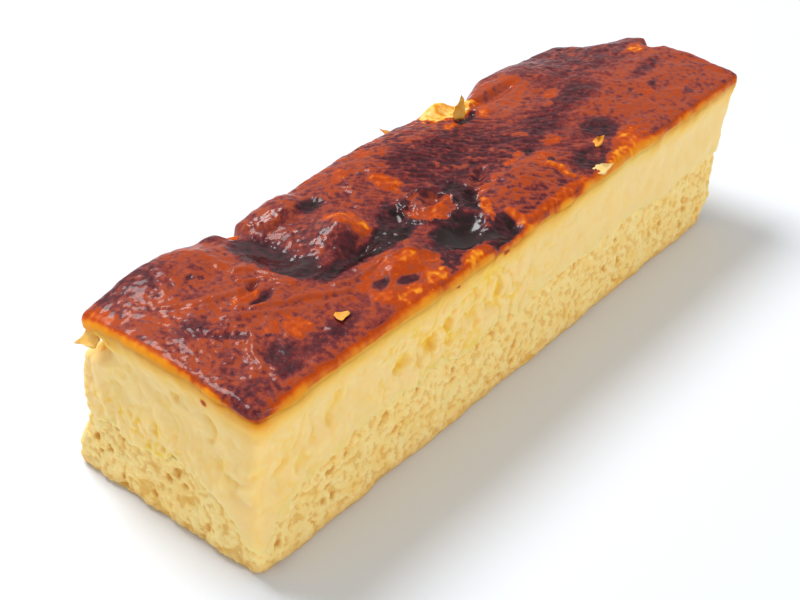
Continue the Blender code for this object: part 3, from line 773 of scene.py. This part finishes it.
# %% Lay out the rows of the cheese
CHEESE_ROWS = 60
CHEESE_OVERLAP = 0.4
FLAP = [(-60, 1.5), (-50, 1.2), (-40, 1.3), (-32, 2.1), (-6, 2.1), (2, 1.1), (20, 0.7), (62, 0.6)]
LIP = 0.45
SMEAR_X, SMEAR_Y, SMEAR_REACH, SMEAR_LENGTH = -60.4, -19.4, 5.0, 3.2
cheese_top = rim_points[:, 2] - CHEESE_OVERLAP
seam_line = plan(RING_U, RING_V, np.full(RING, SPONGE_HEIGHT))
seam_line = plan(RING_U, RING_V, seam_height(seam_line[:, 0], seam_line[:, 1]))
lobes = 0.55 + 0.9 * wave(seam_line, 4.5, 61) + 0.5 * wave(seam_line, 1.7, 62)
lobes = np.clip(lobes + 0.3 * wave(seam_line, 0.7, 63), 0, None)
from_smear = np.hypot(seam_line[:, 0] - SMEAR_X, seam_line[:, 1] - SMEAR_Y)
smear = SMEAR_LENGTH * dome(from_smear / SMEAR_REACH)
cheese_foot = seam_line[:, 2] - along(FLAP, seam_line[:, 0]) * lobes - smear
shares = np.linspace(1, 0, CHEESE_ROWS)[:, None]
cheese_z = between(cheese_foot, cheese_top, shares)
cheese_rows = plan(RING_U + 0 * cheese_z, RING_V + 0 * cheese_z, cheese_z)
cheese_out = outward(cheese_rows)
print("cheese foot from", cheese_foot.min().round(1), "to", cheese_foot.max().round(1), "mm high")

# %% Cut its curds, hollows and lip
CURD_DEPTH, KNIFE_DEPTH, CRUMB_DEPTH = 0.95, 0.05, 0.28
LIP_HEIGHT, FOOT_TUCK, INNER_TUCK = 0.55, 0.35, 1.6
PROUD_UNDER_RIM = 0.12
torn = torn_share(cheese_rows)
hollows = hollow_depth(cheese_rows)
lumps = curds(cheese_rows)
crumbly = crumb_share(cheese_rows)
crumbs = wave(cheese_rows, 1.3, 58) + 0.6 * wave(cheese_rows, 0.65, 59)
relief = side_lumps(cheese_rows) + torn * (CURD_DEPTH * (lumps - 0.6) + 0.10 * wave(cheese_rows, 0.9, 56))
relief += (1 - torn) * KNIFE_DEPTH * knife_marks(cheese_rows) - hollows + CRUMB_DEPTH * crumbly * crumbs
above_foot = cheese_z - cheese_foot
below_lip = np.clip(1 - above_foot / LIP_HEIGHT, 0, 1)
lip = LIP * np.sqrt(np.clip(1 - below_lip**2, 0, None)) * (1 - smooth(3.0, 7.0, above_foot))
under_rim = cheese_top - cheese_z
meets_crust = 1 - smooth(0.4, 1.4, under_rim)
relief = between(relief, side_lumps(cheese_rows), meets_crust)
relief += PROUD_UNDER_RIM * smooth(0.1, 0.5, under_rim) * (1 - smooth(1.4, 3.0, under_rim))
cheese_rows += (relief + lip - FOOT_TUCK * (above_foot < 0.01))[..., None] * cheese_out
tucked = cheese_rows[-1] - INNER_TUCK * cheese_out[-1] + np.array([0.0, 0.0, 0.3])

# %% Where the crust ran down a little over the cheese
Run = namedtuple("Run", "name face place height radius")
RUNS = [
    Run("run on the near end", "near", -10.5, 26.0, 0.75),
    Run("run by the flat pool", "right", -7.2, 26.6, 0.8),
    Run("run by the yellow-green edge", "right", -19.0, 26.8, 0.5),
]
RUN_BROWNING = 0.5
depth_below = rim_points[:, 2] - cheese_rows[..., 2]
glow = glow_width(cheese_rows[..., 0], cheese_rows[..., 1])
cheese_browning = edge_browning(depth_below, glow, cheese_rows)
for run in RUNS:
    face_x, face_z, share = face_places(cheese_rows, run.face)
    reach = np.hypot(face_x - run.place, face_z - run.height) / run.radius
    cheese_browning = cheese_browning + RUN_BROWNING * dome(reach) * share
print("cheese browning from", cheese_browning.min().round(2), "to", cheese_browning.max().round(2))

# %% Write the cheese's mesh
INNER_TOP, INNER_FOOT = CRUST_EDGE - 2.0, SPONGE_HEIGHT - 1
CHEESE_WETNESS = 0.1
fan_middles = [[0, 0, INNER_TOP], [0, 0, INNER_FOOT]]
cheese_points = np.concatenate([cheese_rows.reshape(-1, 3), tucked, fan_middles])
quads, fans = layer_faces(CHEESE_ROWS + 1, len(cheese_points) - 2, len(cheese_points) - 1)
# The creases between curds, the hollows and the pits of the crumbly part are coloured a deeper yellow: partly
# the cheese's own yellow, partly painted shade.
creases = torn * (1 - smooth(0.2, 0.65, lumps))
deep = hollows / 0.9 + 0.8 * creases + crumbly * smooth(0.1, 0.6, -crumbs)


def with_ends(values):
    """A mark's values on the rows, and 0 on the tucked row and in the middle of each fan."""
    return np.concatenate([np.ravel(values), np.zeros(RING + 2)])


baked_cheese = write_mesh("baked_cheese", cheese_points, quads, fans, {
    "browning": with_ends(cheese_browning),
    "wet": with_ends(0 * cheese_browning + CHEESE_WETNESS),
    "beads": with_ends(0 * cheese_browning),
    "hollow": with_ends(np.clip(deep, 0, 1)),
    "torn": with_ends(torn),
})

# %% [markdown]
# ## A short way to write node trees
# A node tree is a sum written with wires. The small class below wraps one socket, so that `1 - mask` or
# `depth * 0.5` adds the Math node that it needs, and the bench adds any other node by its type, its
# settings and what is plugged into it. It serves materials and Geometry Nodes alike.

# %% The bench that trees are wired on
class Wire:
    """One output socket, which can be used in sums."""

    def __init__(self, bench, socket):
        self.bench = bench
        self.socket = socket

    def maths(self, operation, *values):
        """A Math node on these values."""
        return self.bench.add("ShaderNodeMath", {"operation": operation}, dict(enumerate(values)))

    def __add__(self, other):
        return self.maths("ADD", self, other)

    def __sub__(self, other):
        return self.maths("SUBTRACT", self, other)

    def __rsub__(self, other):
        return self.maths("SUBTRACT", other, self)

    def __mul__(self, other):
        return self.maths("MULTIPLY", self, other)

    def __truediv__(self, other):
        return self.maths("DIVIDE", self, other)

    def __rtruediv__(self, other):
        return self.maths("DIVIDE", other, self)

    __radd__ = __add__
    __rmul__ = __mul__


class Bench:
    """Adds nodes to one tree."""

    def __init__(self, tree):
        self.tree = tree

    def add(self, kind, settings=None, plugs=None, out=0):
        """Adds a node with its settings first, then its values and links, and gives one of its outputs."""
        node = self.tree.nodes.new(kind)
        for name, value in (settings or {}).items():
            if name == "stops":
                lay_stops(node.color_ramp, value)
            else:
                setattr(node, name, value)
        for name, value in (plugs or {}).items():
            if isinstance(value, Wire):
                self.tree.links.new(value.socket, node.inputs[name])
            else:
                node.inputs[name].default_value = value
        return Wire(self, node.outputs[out]) if node.outputs else None

    def noise(self, place, span, detail=2.0, roughness=0.5):
        """Noise whose lumps are about span millimetres across."""
        plugs = {"Vector": place, "Scale": 1 / (span * MM), "Detail": detail, "Roughness": roughness}
        return self.add("ShaderNodeTexNoise", {}, plugs)

    def slope(self, value, low, high, start=0.0, end=1.0):
        """A soft slope from start to end as value goes from low to high."""
        plugs = {0: value, 1: low, 2: high, 3: start, 4: end}
        return self.add("ShaderNodeMapRange", {"interpolation_type": "SMOOTHSTEP"}, plugs)

    def blend(self, factor, first, second):
        """Mixes two colours."""
        return self.add("ShaderNodeMix", {"data_type": "RGBA"}, {0: factor, 6: first, 7: second}, out=2)


def lay_stops(ramp, stops):
    """Gives a colour ramp its (place, colour) stops."""
    while len(ramp.elements) > 1:
        ramp.elements.remove(ramp.elements[-1])
    for number, (place, colour) in enumerate(stops):
        stop = ramp.elements[0] if number == 0 else ramp.elements.new(place)
        stop.position = place
        stop.color = (*colour, 1.0)


def finish_of(name):
    """A new material's bench and its Principled shader."""
    made = bpy.data.materials.new(name)
    made.use_nodes = True
    return made, Bench(made.node_tree), made.node_tree.nodes["Principled BSDF"]


def seen_as(red, green, blue):
    """The colour that a screen shows with these values from 0 to 255, in linear light."""
    shares = [value / 255 for value in (red, green, blue)]
    return tuple(((share + 0.055) / 1.055) ** 2.4 if share > 0.04 else share / 12.92 for share in shares)


# %% [markdown]
# ## The finish of cheese and crust
# Cheese and crust are one material, because they are one food at different heats. A colour ramp turns
# browning into colour. The pale end is soft and lets light in, which the subsurface shader gives; the burnt
# end is a hard lacquer of sugar, which a clear coat gives. A Mix Shader goes from one to the other where
# the browning passes amber. Finer mottling, pinholes, bead-sized bumps and small painted highlights are
# added here, because they are smaller than the mesh.

# %% Colours of browning, and the fine pattern
BROWNING_STOPS = [
    (0.00, seen_as(245, 212, 142)),
    (0.08, seen_as(243, 196, 96)),
    (0.17, seen_as(230, 150, 10)),
    (0.28, seen_as(200, 84, 0)),
    (0.38, seen_as(176, 62, 0)),
    (0.48, seen_as(166, 62, 10)),
    (0.57, seen_as(158, 68, 42)),
    (0.64, seen_as(132, 52, 44)),
    (0.73, seen_as(94, 33, 37)),
    (0.84, seen_as(68, 24, 31)),
    (0.93, seen_as(56, 22, 28)),
    (1.00, seen_as(30, 12, 10)),
]
# A deeper yellow for hollows and creases: partly the cheese's own colour, partly painted shade.
HOLLOW_YELLOW_AND_SHADE = (*seen_as(249, 204, 76), 1.0)
CURDLED_COLOUR = (*seen_as(238, 206, 128), 1.0)


def cheese_and_crust(name):
    """One material, from soft cheese to lacquered crust by its browning."""
    material, bench, cheese = finish_of(name)
    place = bench.add("ShaderNodeTexCoord", out=3)
    mark = {key: bench.add("ShaderNodeAttribute", {"attribute_name": key}, out=2)
            for key in ("browning", "wet", "beads", "hollow", "torn")}
    mottle = bench.noise(place, 0.8, 3.0, 0.6) - 0.5
    freckle = bench.noise(place, 0.28, 1.0) - 0.5
    burnt = bench.slope(mark["browning"], 0.2, 0.45)
    still = bench.slope(mark["wet"], 0.6, 0.95)
    specks = bench.slope(bench.noise(place, 0.55, 2.0, 0.6), 0.60, 0.70)
    # Painted highlights: small pale specks where the browning is lowered, so the colour is lighter there.
    painted_glints = bench.slope(bench.noise(place, 0.7, 2.0, 0.6), 0.62, 0.72)
    speckle = mottle * 0.32 + freckle * 0.08 + specks * 0.08 - painted_glints * 0.14
    level = mark["browning"] + speckle * burnt * (1 - still * 0.45)
    colour = bench.add("ShaderNodeValToRGB", {"stops": BROWNING_STOPS}, {0: level})
    pale = 1 - burnt
    curdle = bench.slope(bench.noise(place, 2.6, 3.0), 0.35, 0.7)
    curdled = curdle * bench.slope(mark["browning"], 0.03, 0.12, 0.35, 0.0)
    colour = bench.blend(curdled, colour, CURDLED_COLOUR)
    # Painted shade, with the cheese's own deeper yellow, in the hollows and creases.
    colour = bench.blend(mark["hollow"] * pale, colour, HOLLOW_YELLOW_AND_SHADE)
    grain = bench.noise(place, 0.35, 2.0)
    skin_height = mottle * 0.5 + freckle * 0.5 * (1 + mark["beads"] * 2.0)
    curd_height = (grain - 0.5) * pale * (0.25 + mark["torn"] * 0.5)
    height = (skin_height - specks * 0.25) * burnt * (1 - still * 0.6) + curd_height
    bump = bench.add("ShaderNodeBump", {}, {"Height": height, "Strength": 0.55, "Distance": 0.00012})
    shine = bench.slope(mark["wet"], 0.0, 1.0, 0.38, 0.2) + mottle * 0.16
    tree = material.node_tree
    crust = tree.nodes.new("ShaderNodeBsdfPrincipled")
    for shader in (cheese, crust):
        tree.links.new(colour.socket, shader.inputs["Base Color"])
        tree.links.new(bump.socket, shader.inputs["Normal"])
    cheese.inputs["Roughness"].default_value = 0.48
    cheese.inputs["Specular IOR Level"].default_value = 0.2
    cheese.inputs["Subsurface Weight"].default_value = 0.9
    cheese.inputs["Subsurface Radius"].default_value = (1.0, 0.72, 0.4)
    cheese.inputs["Subsurface Scale"].default_value = 0.0018
    tree.links.new(shine.socket, crust.inputs["Roughness"])
    coat = bench.slope(mark["wet"], 0.1, 0.9, 0.2, 0.45) * bench.slope(level, 0.2, 0.5, 0.1, 1.0)
    tree.links.new(coat.socket, crust.inputs["Coat Weight"])
    crust.inputs["Coat Roughness"].default_value = 0.12
    crust.inputs["Coat IOR"].default_value = 1.5
    crust.inputs["Specular IOR Level"].default_value = 0.08
    both = bench.add("ShaderNodeMixShader", {}, {
        0: burnt, 1: Wire(bench, cheese.outputs[0]), 2: Wire(bench, crust.outputs[0])})
    tree.links.new(both.socket, tree.nodes["Material Output"].inputs["Surface"])
    return material


curd_finish = cheese_and_crust("cheese from cream to burnt")
for piece in (burnt_crust, baked_cheese):
    piece.data.materials.append(curd_finish)
print(len(curd_finish.node_tree.nodes), "nodes in the finish of cheese and crust")

# %% [markdown]
# ## The sponge
# Sponge is a foam: bubbles that burst as it baked, with rounded grains of crumb between them. Its foot
# bulges in and out from grain to grain. The shape is drawn as rows round the bar, and then a Geometry Nodes
# tree raises the grains and sinks the pores, because the same rule runs over every side.

# %% Lay out the rows of the sponge
SPONGE_ROWS = 62
SCALLOP_DEPTH, SCALLOP_SPAN, SCALLOP_HEIGHT = 0.55, 5.0, 3.0
SPONGE_OVERLAP, SPONGE_SET_IN, SPONGE_TUCK = 0.5, 0.12, 1.5
top_line = seam_line[:, 2] + SPONGE_OVERLAP
shares = np.linspace(1, 0, SPONGE_ROWS)[:, None] ** 1.1
sponge_z = between(np.zeros(RING), top_line, shares)
sponge_rows = plan(RING_U + 0 * sponge_z, RING_V + 0 * sponge_z, sponge_z)
sponge_out = outward(sponge_rows)
scallops = SCALLOP_DEPTH * (wave(seam_line * np.array([1, 1, 0]), SCALLOP_SPAN, 71) - 0.1)
at_foot = dome(sponge_z / SCALLOP_HEIGHT)
relief = side_lumps(sponge_rows) + at_foot * scallops - SPONGE_SET_IN
sponge_rows += relief[..., None] * sponge_out
tucked_top = sponge_rows[0] - SPONGE_TUCK * sponge_out[0]
tucked_foot = sponge_rows[-1] - SPONGE_TUCK * sponge_out[-1]
print("sponge top from", top_line.min().round(1), "to", top_line.max().round(1), "mm high")

# %% Write the sponge's mesh
fan_middles = [[0, 0, SPONGE_HEIGHT], [0, 0, 0]]
sponge_points = np.concatenate([tucked_top, sponge_rows.reshape(-1, 3), tucked_foot, fan_middles])
quads, fans = layer_faces(SPONGE_ROWS + 2, len(sponge_points) - 2, len(sponge_points) - 1)
open_crumb = np.concatenate([np.zeros(RING), np.ravel(smooth(0.0, 0.5, sponge_z)), np.zeros(RING + 2)])
sponge = write_mesh("sponge_crumb", sponge_points, quads, fans, {
    "open_crumb": open_crumb,
})

# %% [markdown]
# ## Pores and grains by Geometry Nodes
# The tree reads each point's position. Two Voronoi patterns give the rounded grains and the few big burst
# bubbles, and noise decides where pores cluster. The sum moves each point along its normal, and the depth
# of the pores and the height of the grains are kept as marks, which the finish turns into painted shade and
# painted light. The sizes of grains and pores are named inputs.

# %% The tree that crumbles the sponge
CRUMB_SIZES = {"Grain size": 1.35, "Grain height": 0.42, "Pore size": 2.3, "Pore depth": 0.9}


def new_tree(name, inputs):
    """An empty Geometry Nodes tree with named inputs, its bench and its inputs as wires."""
    tree = bpy.data.node_groups.new(name, "GeometryNodeTree")
    tree.interface.new_socket("Geometry", in_out="INPUT", socket_type="NodeSocketGeometry")
    tree.interface.new_socket("Geometry", in_out="OUTPUT", socket_type="NodeSocketGeometry")
    for label, kind, value in inputs:
        socket = tree.interface.new_socket(label, in_out="INPUT", socket_type=kind)
        if value is not None:
            socket.default_value = value
    bench = Bench(tree)
    source = tree.nodes.new("NodeGroupInput")
    return tree, bench, {socket.name: Wire(bench, socket) for socket in source.outputs if socket.name}


def close_tree(tree, bench, geometry, material):
    """Ends a tree in Realize Instances and Set Material."""
    real = bench.add("GeometryNodeRealizeInstances", {}, {0: geometry})
    dressed = bench.add("GeometryNodeSetMaterial", {}, {"Geometry": real, "Material": material})
    sink = tree.nodes.new("NodeGroupOutput")
    tree.links.new(dressed.socket, sink.inputs[0])


def crumbling_tree():
    """Raises the grains and sinks the pores, and keeps both as marks for the finish."""
    sizes = [(label, "NodeSocketFloat", size) for label, size in CRUMB_SIZES.items()]
    tree, bench, given = new_tree("crumble the sponge", sizes + [("Finish", "NodeSocketMaterial", None)])
    place = bench.add("GeometryNodeInputPosition")
    swirl = bench.add("ShaderNodeTexNoise", {}, {"Vector": place, "Scale": 900.0, "Detail": 1.0}, out=1)
    bend = bench.add("ShaderNodeVectorMath", {"operation": "SCALE"}, {0: swirl, 3: 0.0007})
    place = bench.add("ShaderNodeVectorMath", {"operation": "ADD"}, {0: place, 1: bend})
    open_share = bench.add("GeometryNodeInputNamedAttribute", {"data_type": "FLOAT"}, {"Name": "open_crumb"})
    cells = bench.add("ShaderNodeTexVoronoi", {"feature": "F1"}, {
        "Vector": place, "Scale": 1000 / given["Grain size"]})
    crumbs = bench.noise(place, 1.1, 3.0, 0.6)
    lumps = bench.noise(place, 4.0, 1.0) - 0.5
    grains = (crumbs - 0.5) * 2.2 + (0.45 - cells) * 0.9
    bubbles = bench.add("ShaderNodeTexVoronoi", {"feature": "F1"}, {
        "Vector": place, "Scale": 1000 / given["Pore size"]})
    where = bench.slope(bench.noise(place, 4.5, 1.0), 0.50, 0.60)
    pores = bench.slope(bubbles, 0.14, 0.38, 1.0, 0.0) * where
    pits = bench.slope(grains, -0.30, 0.0, 1.0, 0.0)
    painted_pore_shade = bench.slope(pores + pits * 0.55, 0.0, 1.0)
    rise = grains * given["Grain height"] + lumps * 0.5 - pores * given["Pore depth"]
    normal = bench.add("GeometryNodeInputNormal")
    move = bench.add("ShaderNodeVectorMath", {"operation": "SCALE"}, {0: normal, 3: rise * open_share * MM})
    kept = bench.add("GeometryNodeStoreNamedAttribute", {"data_type": "FLOAT", "domain": "POINT"}, {
        "Geometry": given["Geometry"], "Name": "painted_pore_shade", "Value": painted_pore_shade * open_share})
    kept = bench.add("GeometryNodeStoreNamedAttribute", {"data_type": "FLOAT", "domain": "POINT"}, {
        "Geometry": kept, "Name": "grain", "Value": grains})
    moved = bench.add("GeometryNodeSetPosition", {}, {"Geometry": kept, "Offset": move})
    close_tree(tree, bench, moved, given["Finish"])
    return tree


def run_tree(obj, tree, values):
    """Runs a tree on an object with these named values and keeps the result as its plain mesh."""
    modifier = obj.modifiers.new(tree.name, "NODES")
    modifier.node_group = tree
    for item in tree.interface.items_tree:
        if item.in_out == "INPUT" and item.name in values:
            modifier[item.identifier] = values[item.name]
    bpy.context.view_layer.update()
    graph = bpy.context.evaluated_depsgraph_get()
    made = bpy.data.meshes.new_from_object(obj.evaluated_get(graph))
    obj.modifiers.clear()
    return made


# %% [markdown]
# ## The finish of the sponge
# The crumb is dry and matt: pale gold, painted paler on the grains as painted light and ochre down in the
# pores as painted shade, and a little browner at the foot where it met the tin. Thin walls of crumb let
# some light through, so a little subsurface scattering softens it.

# %% Colours of the crumb
def sponge_finish():
    """Dry crumb, painted paler on its grains and ochre in its pores: painted light and painted shade."""
    material, bench, shader = finish_of("golden sponge crumb")
    place = bench.add("ShaderNodeTexCoord", out=3)
    painted_pore_shade = bench.add("ShaderNodeAttribute", {"attribute_name": "painted_pore_shade"}, out=2)
    grain = bench.add("ShaderNodeAttribute", {"attribute_name": "grain"}, out=2)
    height = bench.add("ShaderNodeSeparateXYZ", {}, {0: place}, out=2)
    patchy = bench.slope(bench.noise(place, 3.2, 3.0), 0.3, 0.7)
    colour = bench.blend(patchy, (*seen_as(252, 212, 126), 1), (*seen_as(253, 224, 150), 1))
    # Painted light: the raised grains are painted paler.
    colour = bench.blend(bench.slope(grain, 0.1, 0.6), colour, (*seen_as(254, 228, 160), 1))
    low = bench.slope(height, 0.0, 0.003, 0.6, 0.0)
    colour = bench.blend(low, colour, (*seen_as(210, 154, 74), 1))
    # Painted shade: the pores and the pits between grains are painted ochre.
    colour = bench.blend(bench.slope(painted_pore_shade, 0.05, 0.9) * 0.75, colour, (*seen_as(226, 166, 60), 1))
    fine = bench.noise(place, 0.35, 3.0, 0.65)
    bump = bench.add("ShaderNodeBump", {}, {"Height": fine, "Strength": 0.7, "Distance": 0.00025})
    material.node_tree.links.new(colour.socket, shader.inputs["Base Color"])
    material.node_tree.links.new(bump.socket, shader.inputs["Normal"])
    shader.inputs["Roughness"].default_value = 0.82
    shader.inputs["Subsurface Weight"].default_value = 0.35
    shader.inputs["Subsurface Radius"].default_value = (1.0, 0.6, 0.25)
    shader.inputs["Subsurface Scale"].default_value = 0.0012
    shader.inputs["Specular IOR Level"].default_value = 0.3
    return material


crumb_finish = sponge_finish()
crumbled = run_tree(sponge, crumbling_tree(), {**CRUMB_SIZES, "Finish": crumb_finish})
sponge.data = crumbled
print(len(crumb_finish.node_tree.nodes), "nodes in the finish", [made.name for made in crumbled.materials])

# %% [markdown]
# ## Torn flakes
# Where the crust tore, thin flakes of dried cheese stand up or hang over, amber and curled like wood
# shavings. Each is a small skin, bent along its length, with a slanted, ragged tip and real thickness. They
# wear a finish of their own with the crust's colours, because a thin dry flake has neither the lacquer of
# the crust nor the glow of soft cheese.

# %% Curl each flake in its place
Flake = namedtuple("Flake", "name x y depth length width thickness turns curl browning")
FLAKES = [
    Flake("corner flake", -59.2, 11.0, 2.6, 3.9, 3.0, 0.25, (-38, 40, 128), 14, 0.09),
    Flake("upright flake", 16.6, 7.3, 0.2, 4.6, 2.2, 0.3, (0, -74, 50), 22, 0.12),
    Flake("ridge flake", 24.0, -14.6, 0.3, 2.7, 2.1, 0.35, (0, -24, -40), 40, 0.16),
    Flake("edge flake", 18.0, -19.2, 0.1, 3.6, 1.9, 0.35, (20, 4, -10), 24, 0.02),
    Flake("far chunk", 59.6, 2.0, 1.6, 3.8, 3.4, 1.2, (0, 6, 10), 10, 0.18),
    Flake("loose flake", -37.0, -14.2, -0.14, 2.1, 2.4, 0.1, (0, -1, -128), 4, 0.15),
    Flake("left scrap", 6.4, 13.9, 0.5, 2.2, 1.2, 0.3, (0, -8, 118), 14, 0.2),
    Flake("far scrap", 51.8, 8.6, 0.5, 2.4, 1.4, 0.35, (0, -2, 40), 10, 0.12),
]
FLAKE_ROWS, FLAKE_COLUMNS = 14, 8
FLAKE_OUTLINE = [(0, 0.75), (0.3, 1.05), (0.7, 0.7), (1, 0.4)]
TIP_THINNING = 0.7


def flake_points(flake):
    """Grid of points of one curled flake, on its upper face, in its own axes."""
    lengthwise, crosswise = np.linspace(0, 1, FLAKE_ROWS), np.linspace(-0.5, 0.5, FLAKE_COLUMNS)
    run, side = np.meshgrid(lengthwise, crosswise, indexing="ij")
    flat = np.stack([run * flake.length, side * 0.4, 0 * run + flake.x], axis=-1)
    width = along(FLAKE_OUTLINE, run) + 0.3 * wave(flat, 1.1, 81)
    curl = math.radians(flake.curl)
    bend = curl * run
    x = flake.length * np.sin(bend) / curl
    z = flake.length * (1 - np.cos(bend)) / curl + 0.2 * flake.width * side**2
    x = x * (1 - 0.45 * (side + 0.5) * run) + 0.5 * wave(flat * np.array([0, 3.0, 1]), 1.0, 84) * run
    return np.stack([x, side * flake.width * width, z + 0.15 * wave(flat, 1.6, 82)], axis=-1)


def add_flake(flake):
    """Points and faces of one flake, turned and set in its place in the crust."""
    upper = flake_points(flake)
    rows, columns = upper.shape[:2]
    thick = flake.thickness * (1 - TIP_THINNING * np.linspace(0, 1, rows))[:, None]
    lower = upper - np.stack([0 * upper[..., 0], 0 * upper[..., 0], thick + 0 * upper[..., 0]], axis=-1)
    points = np.concatenate([upper.reshape(-1, 3), lower.reshape(-1, 3)])
    about_x, about_y, about_z = [
        Matrix.Rotation(math.radians(angle), 3, axis) for angle, axis in zip(flake.turns, "XYZ")]
    turn = about_z @ about_y @ about_x
    ground = float(crust_height(np.array(flake.x), np.array(flake.y))) - flake.depth
    points = points @ np.array(turn).T + np.array([flake.x, flake.y, ground])
    grid = np.arange(rows * columns).reshape(rows, columns)
    top = grid_quads(grid)
    under = (top + rows * columns)[:, ::-1]
    loop = grid_rim(grid)
    return points, np.concatenate([top, under, band(loop, loop + rows * columns)])


def flake_finish():
    """Dried cheese: the colours of the crust's browning, without lacquer or light let through."""
    material, bench, shader = finish_of("dried amber flake")
    place = bench.add("ShaderNodeTexCoord", out=3)
    brown = bench.add("ShaderNodeAttribute", {"attribute_name": "browning"}, out=2)
    mottle = bench.noise(place, 0.8, 3.0, 0.6) - 0.5
    colour = bench.add("ShaderNodeValToRGB", {"stops": BROWNING_STOPS}, {0: brown + mottle * 0.16})
    bump = bench.add("ShaderNodeBump", {}, {"Height": mottle, "Strength": 0.6, "Distance": 0.00015})
    material.node_tree.links.new(colour.socket, shader.inputs["Base Color"])
    material.node_tree.links.new(bump.socket, shader.inputs["Normal"])
    shader.inputs["Roughness"].default_value = 0.42
    return material


flake_parts, flake_quads, flake_browning, first = [], [], [], 0
for flake in FLAKES:
    points, quads = add_flake(flake)
    flake_parts.append(points)
    flake_quads.append(quads + first)
    flake_browning.append(np.full(len(points), flake.browning) + 0.03 * wave(points, 1.5, 83))
    first += len(points)
no_triangles = np.zeros((0, 3), int)
flakes = write_mesh("crust_flakes", np.concatenate(flake_parts), np.concatenate(flake_quads), no_triangles, {
    "browning": np.concatenate(flake_browning),
})
flakes.data.materials.append(flake_finish())

# %% [markdown]
# ## Studio, light and camera
# The bar stands on a plain pale floor. One broad soft light behind and to the left makes the glow on the
# crust and the soft shadow in front of the long side. Low soft lights in front fill the cut faces without
# brightening the floor. The camera stands where the photo was taken from: its angle and distance were
# fitted to the bar's corners.

# %% The floor
FLOOR_SIZE, FLOOR_COLOUR = 4.0, (0.80, 0.845, 0.91, 1)


def add_floor():
    bpy.ops.mesh.primitive_plane_add(size=FLOOR_SIZE)
    floor = bpy.context.object
    floor.name = "floor"
    material, _, shader = finish_of("pale studio floor")
    shader.inputs["Base Color"].default_value = FLOOR_COLOUR
    shader.inputs["Roughness"].default_value = 0.9
    shader.inputs["Specular IOR Level"].default_value = 0.1
    floor.data.materials.append(material)


add_floor()

# %% The lights
SoftLight = namedtuple("SoftLight", "name place aim size power")
LIGHTS = [
    SoftLight("broad light behind", (0.0, 0.41, 0.69), (0.0, 0.0, 0.01), 0.37, 5.4),
    SoftLight("low fill in front", (0.10, -0.80, 0.07), (0.0, 0.0, 0.015), 0.3, 1.9),
    SoftLight("low fill at the near end", (-0.80, -0.16, 0.07), (-0.05, 0.0, 0.015), 0.3, 0.7),
]


def add_light(light):
    data = bpy.data.lights.new(light.name, "AREA")
    data.shape = "DISK"
    data.size = light.size
    data.energy = light.power
    lamp = bpy.data.objects.new(light.name, data)
    lamp.location = light.place
    lamp.rotation_euler = (Vector(light.place) - Vector(light.aim)).to_track_quat("Z", "Y").to_euler()
    bpy.context.scene.collection.objects.link(lamp)


for light in LIGHTS:
    add_light(light)
ROOM_BRIGHTNESS = 0.55
world = bpy.data.worlds.new("white room")
world.use_nodes = True
background = world.node_tree.nodes["Background"]
background.inputs["Color"].default_value = (1.0, 1.0, 1.0, 1)
background.inputs["Strength"].default_value = ROOM_BRIGHTNESS
bpy.context.scene.world = world
bpy.context.scene.view_settings.view_transform = "Standard"

# %% The camera
FOCAL_PIXELS, PHOTO_WIDTH, SENSOR_WIDTH = 1348.4828, 800, 36.0
AZIMUTH, ELEVATION, ROLL = -0.8629146, 0.6197747, -0.0142404
DISTANCE, TARGET = 234.07096, np.array([0.00023, 6.8967, 1.5058])


def add_camera():
    """The photo's camera, as fitted: it looks along -back, with its roll taken from the level direction."""
    level_reach = math.cos(ELEVATION)
    back = Vector((math.sin(AZIMUTH) * level_reach, -math.cos(AZIMUTH) * level_reach, math.sin(ELEVATION)))
    level = Vector((math.cos(AZIMUTH), math.sin(AZIMUTH), 0))
    up = back.cross(level)
    rolled = math.cos(ROLL) * level + math.sin(ROLL) * up
    rolled_up = math.cos(ROLL) * up - math.sin(ROLL) * level
    camera = bpy.data.cameras.new("camera")
    camera.sensor_width = SENSOR_WIDTH
    camera.lens = FOCAL_PIXELS * SENSOR_WIDTH / PHOTO_WIDTH
    camera.clip_start = 0.001
    obj = bpy.data.objects.new("camera", camera)
    place = Vector((TARGET + CENTRING) * MM) + DISTANCE * MM * back
    obj.matrix_world = Matrix.Translation(place) @ Matrix((rolled, rolled_up, back)).transposed().to_4x4()
    bpy.context.scene.collection.objects.link(obj)
    bpy.context.scene.camera = obj


add_camera()

# %% [markdown]
# ## Set the pieces on the bar's body
# Each finished piece rides on the bar's one body, and the CAD solid that it stands for is hidden.

# %% Ride and replace
for piece, node, slot in (
    (burnt_crust, "cheese_layer", "baked_cheese"),
    (baked_cheese, "cheese_layer", "baked_cheese"),
    (flakes, "cheese_layer", "baked_cheese"),
    (sponge, "sponge_base", "sponge_crumb"),
):
    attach(piece, "root")
    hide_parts(node)
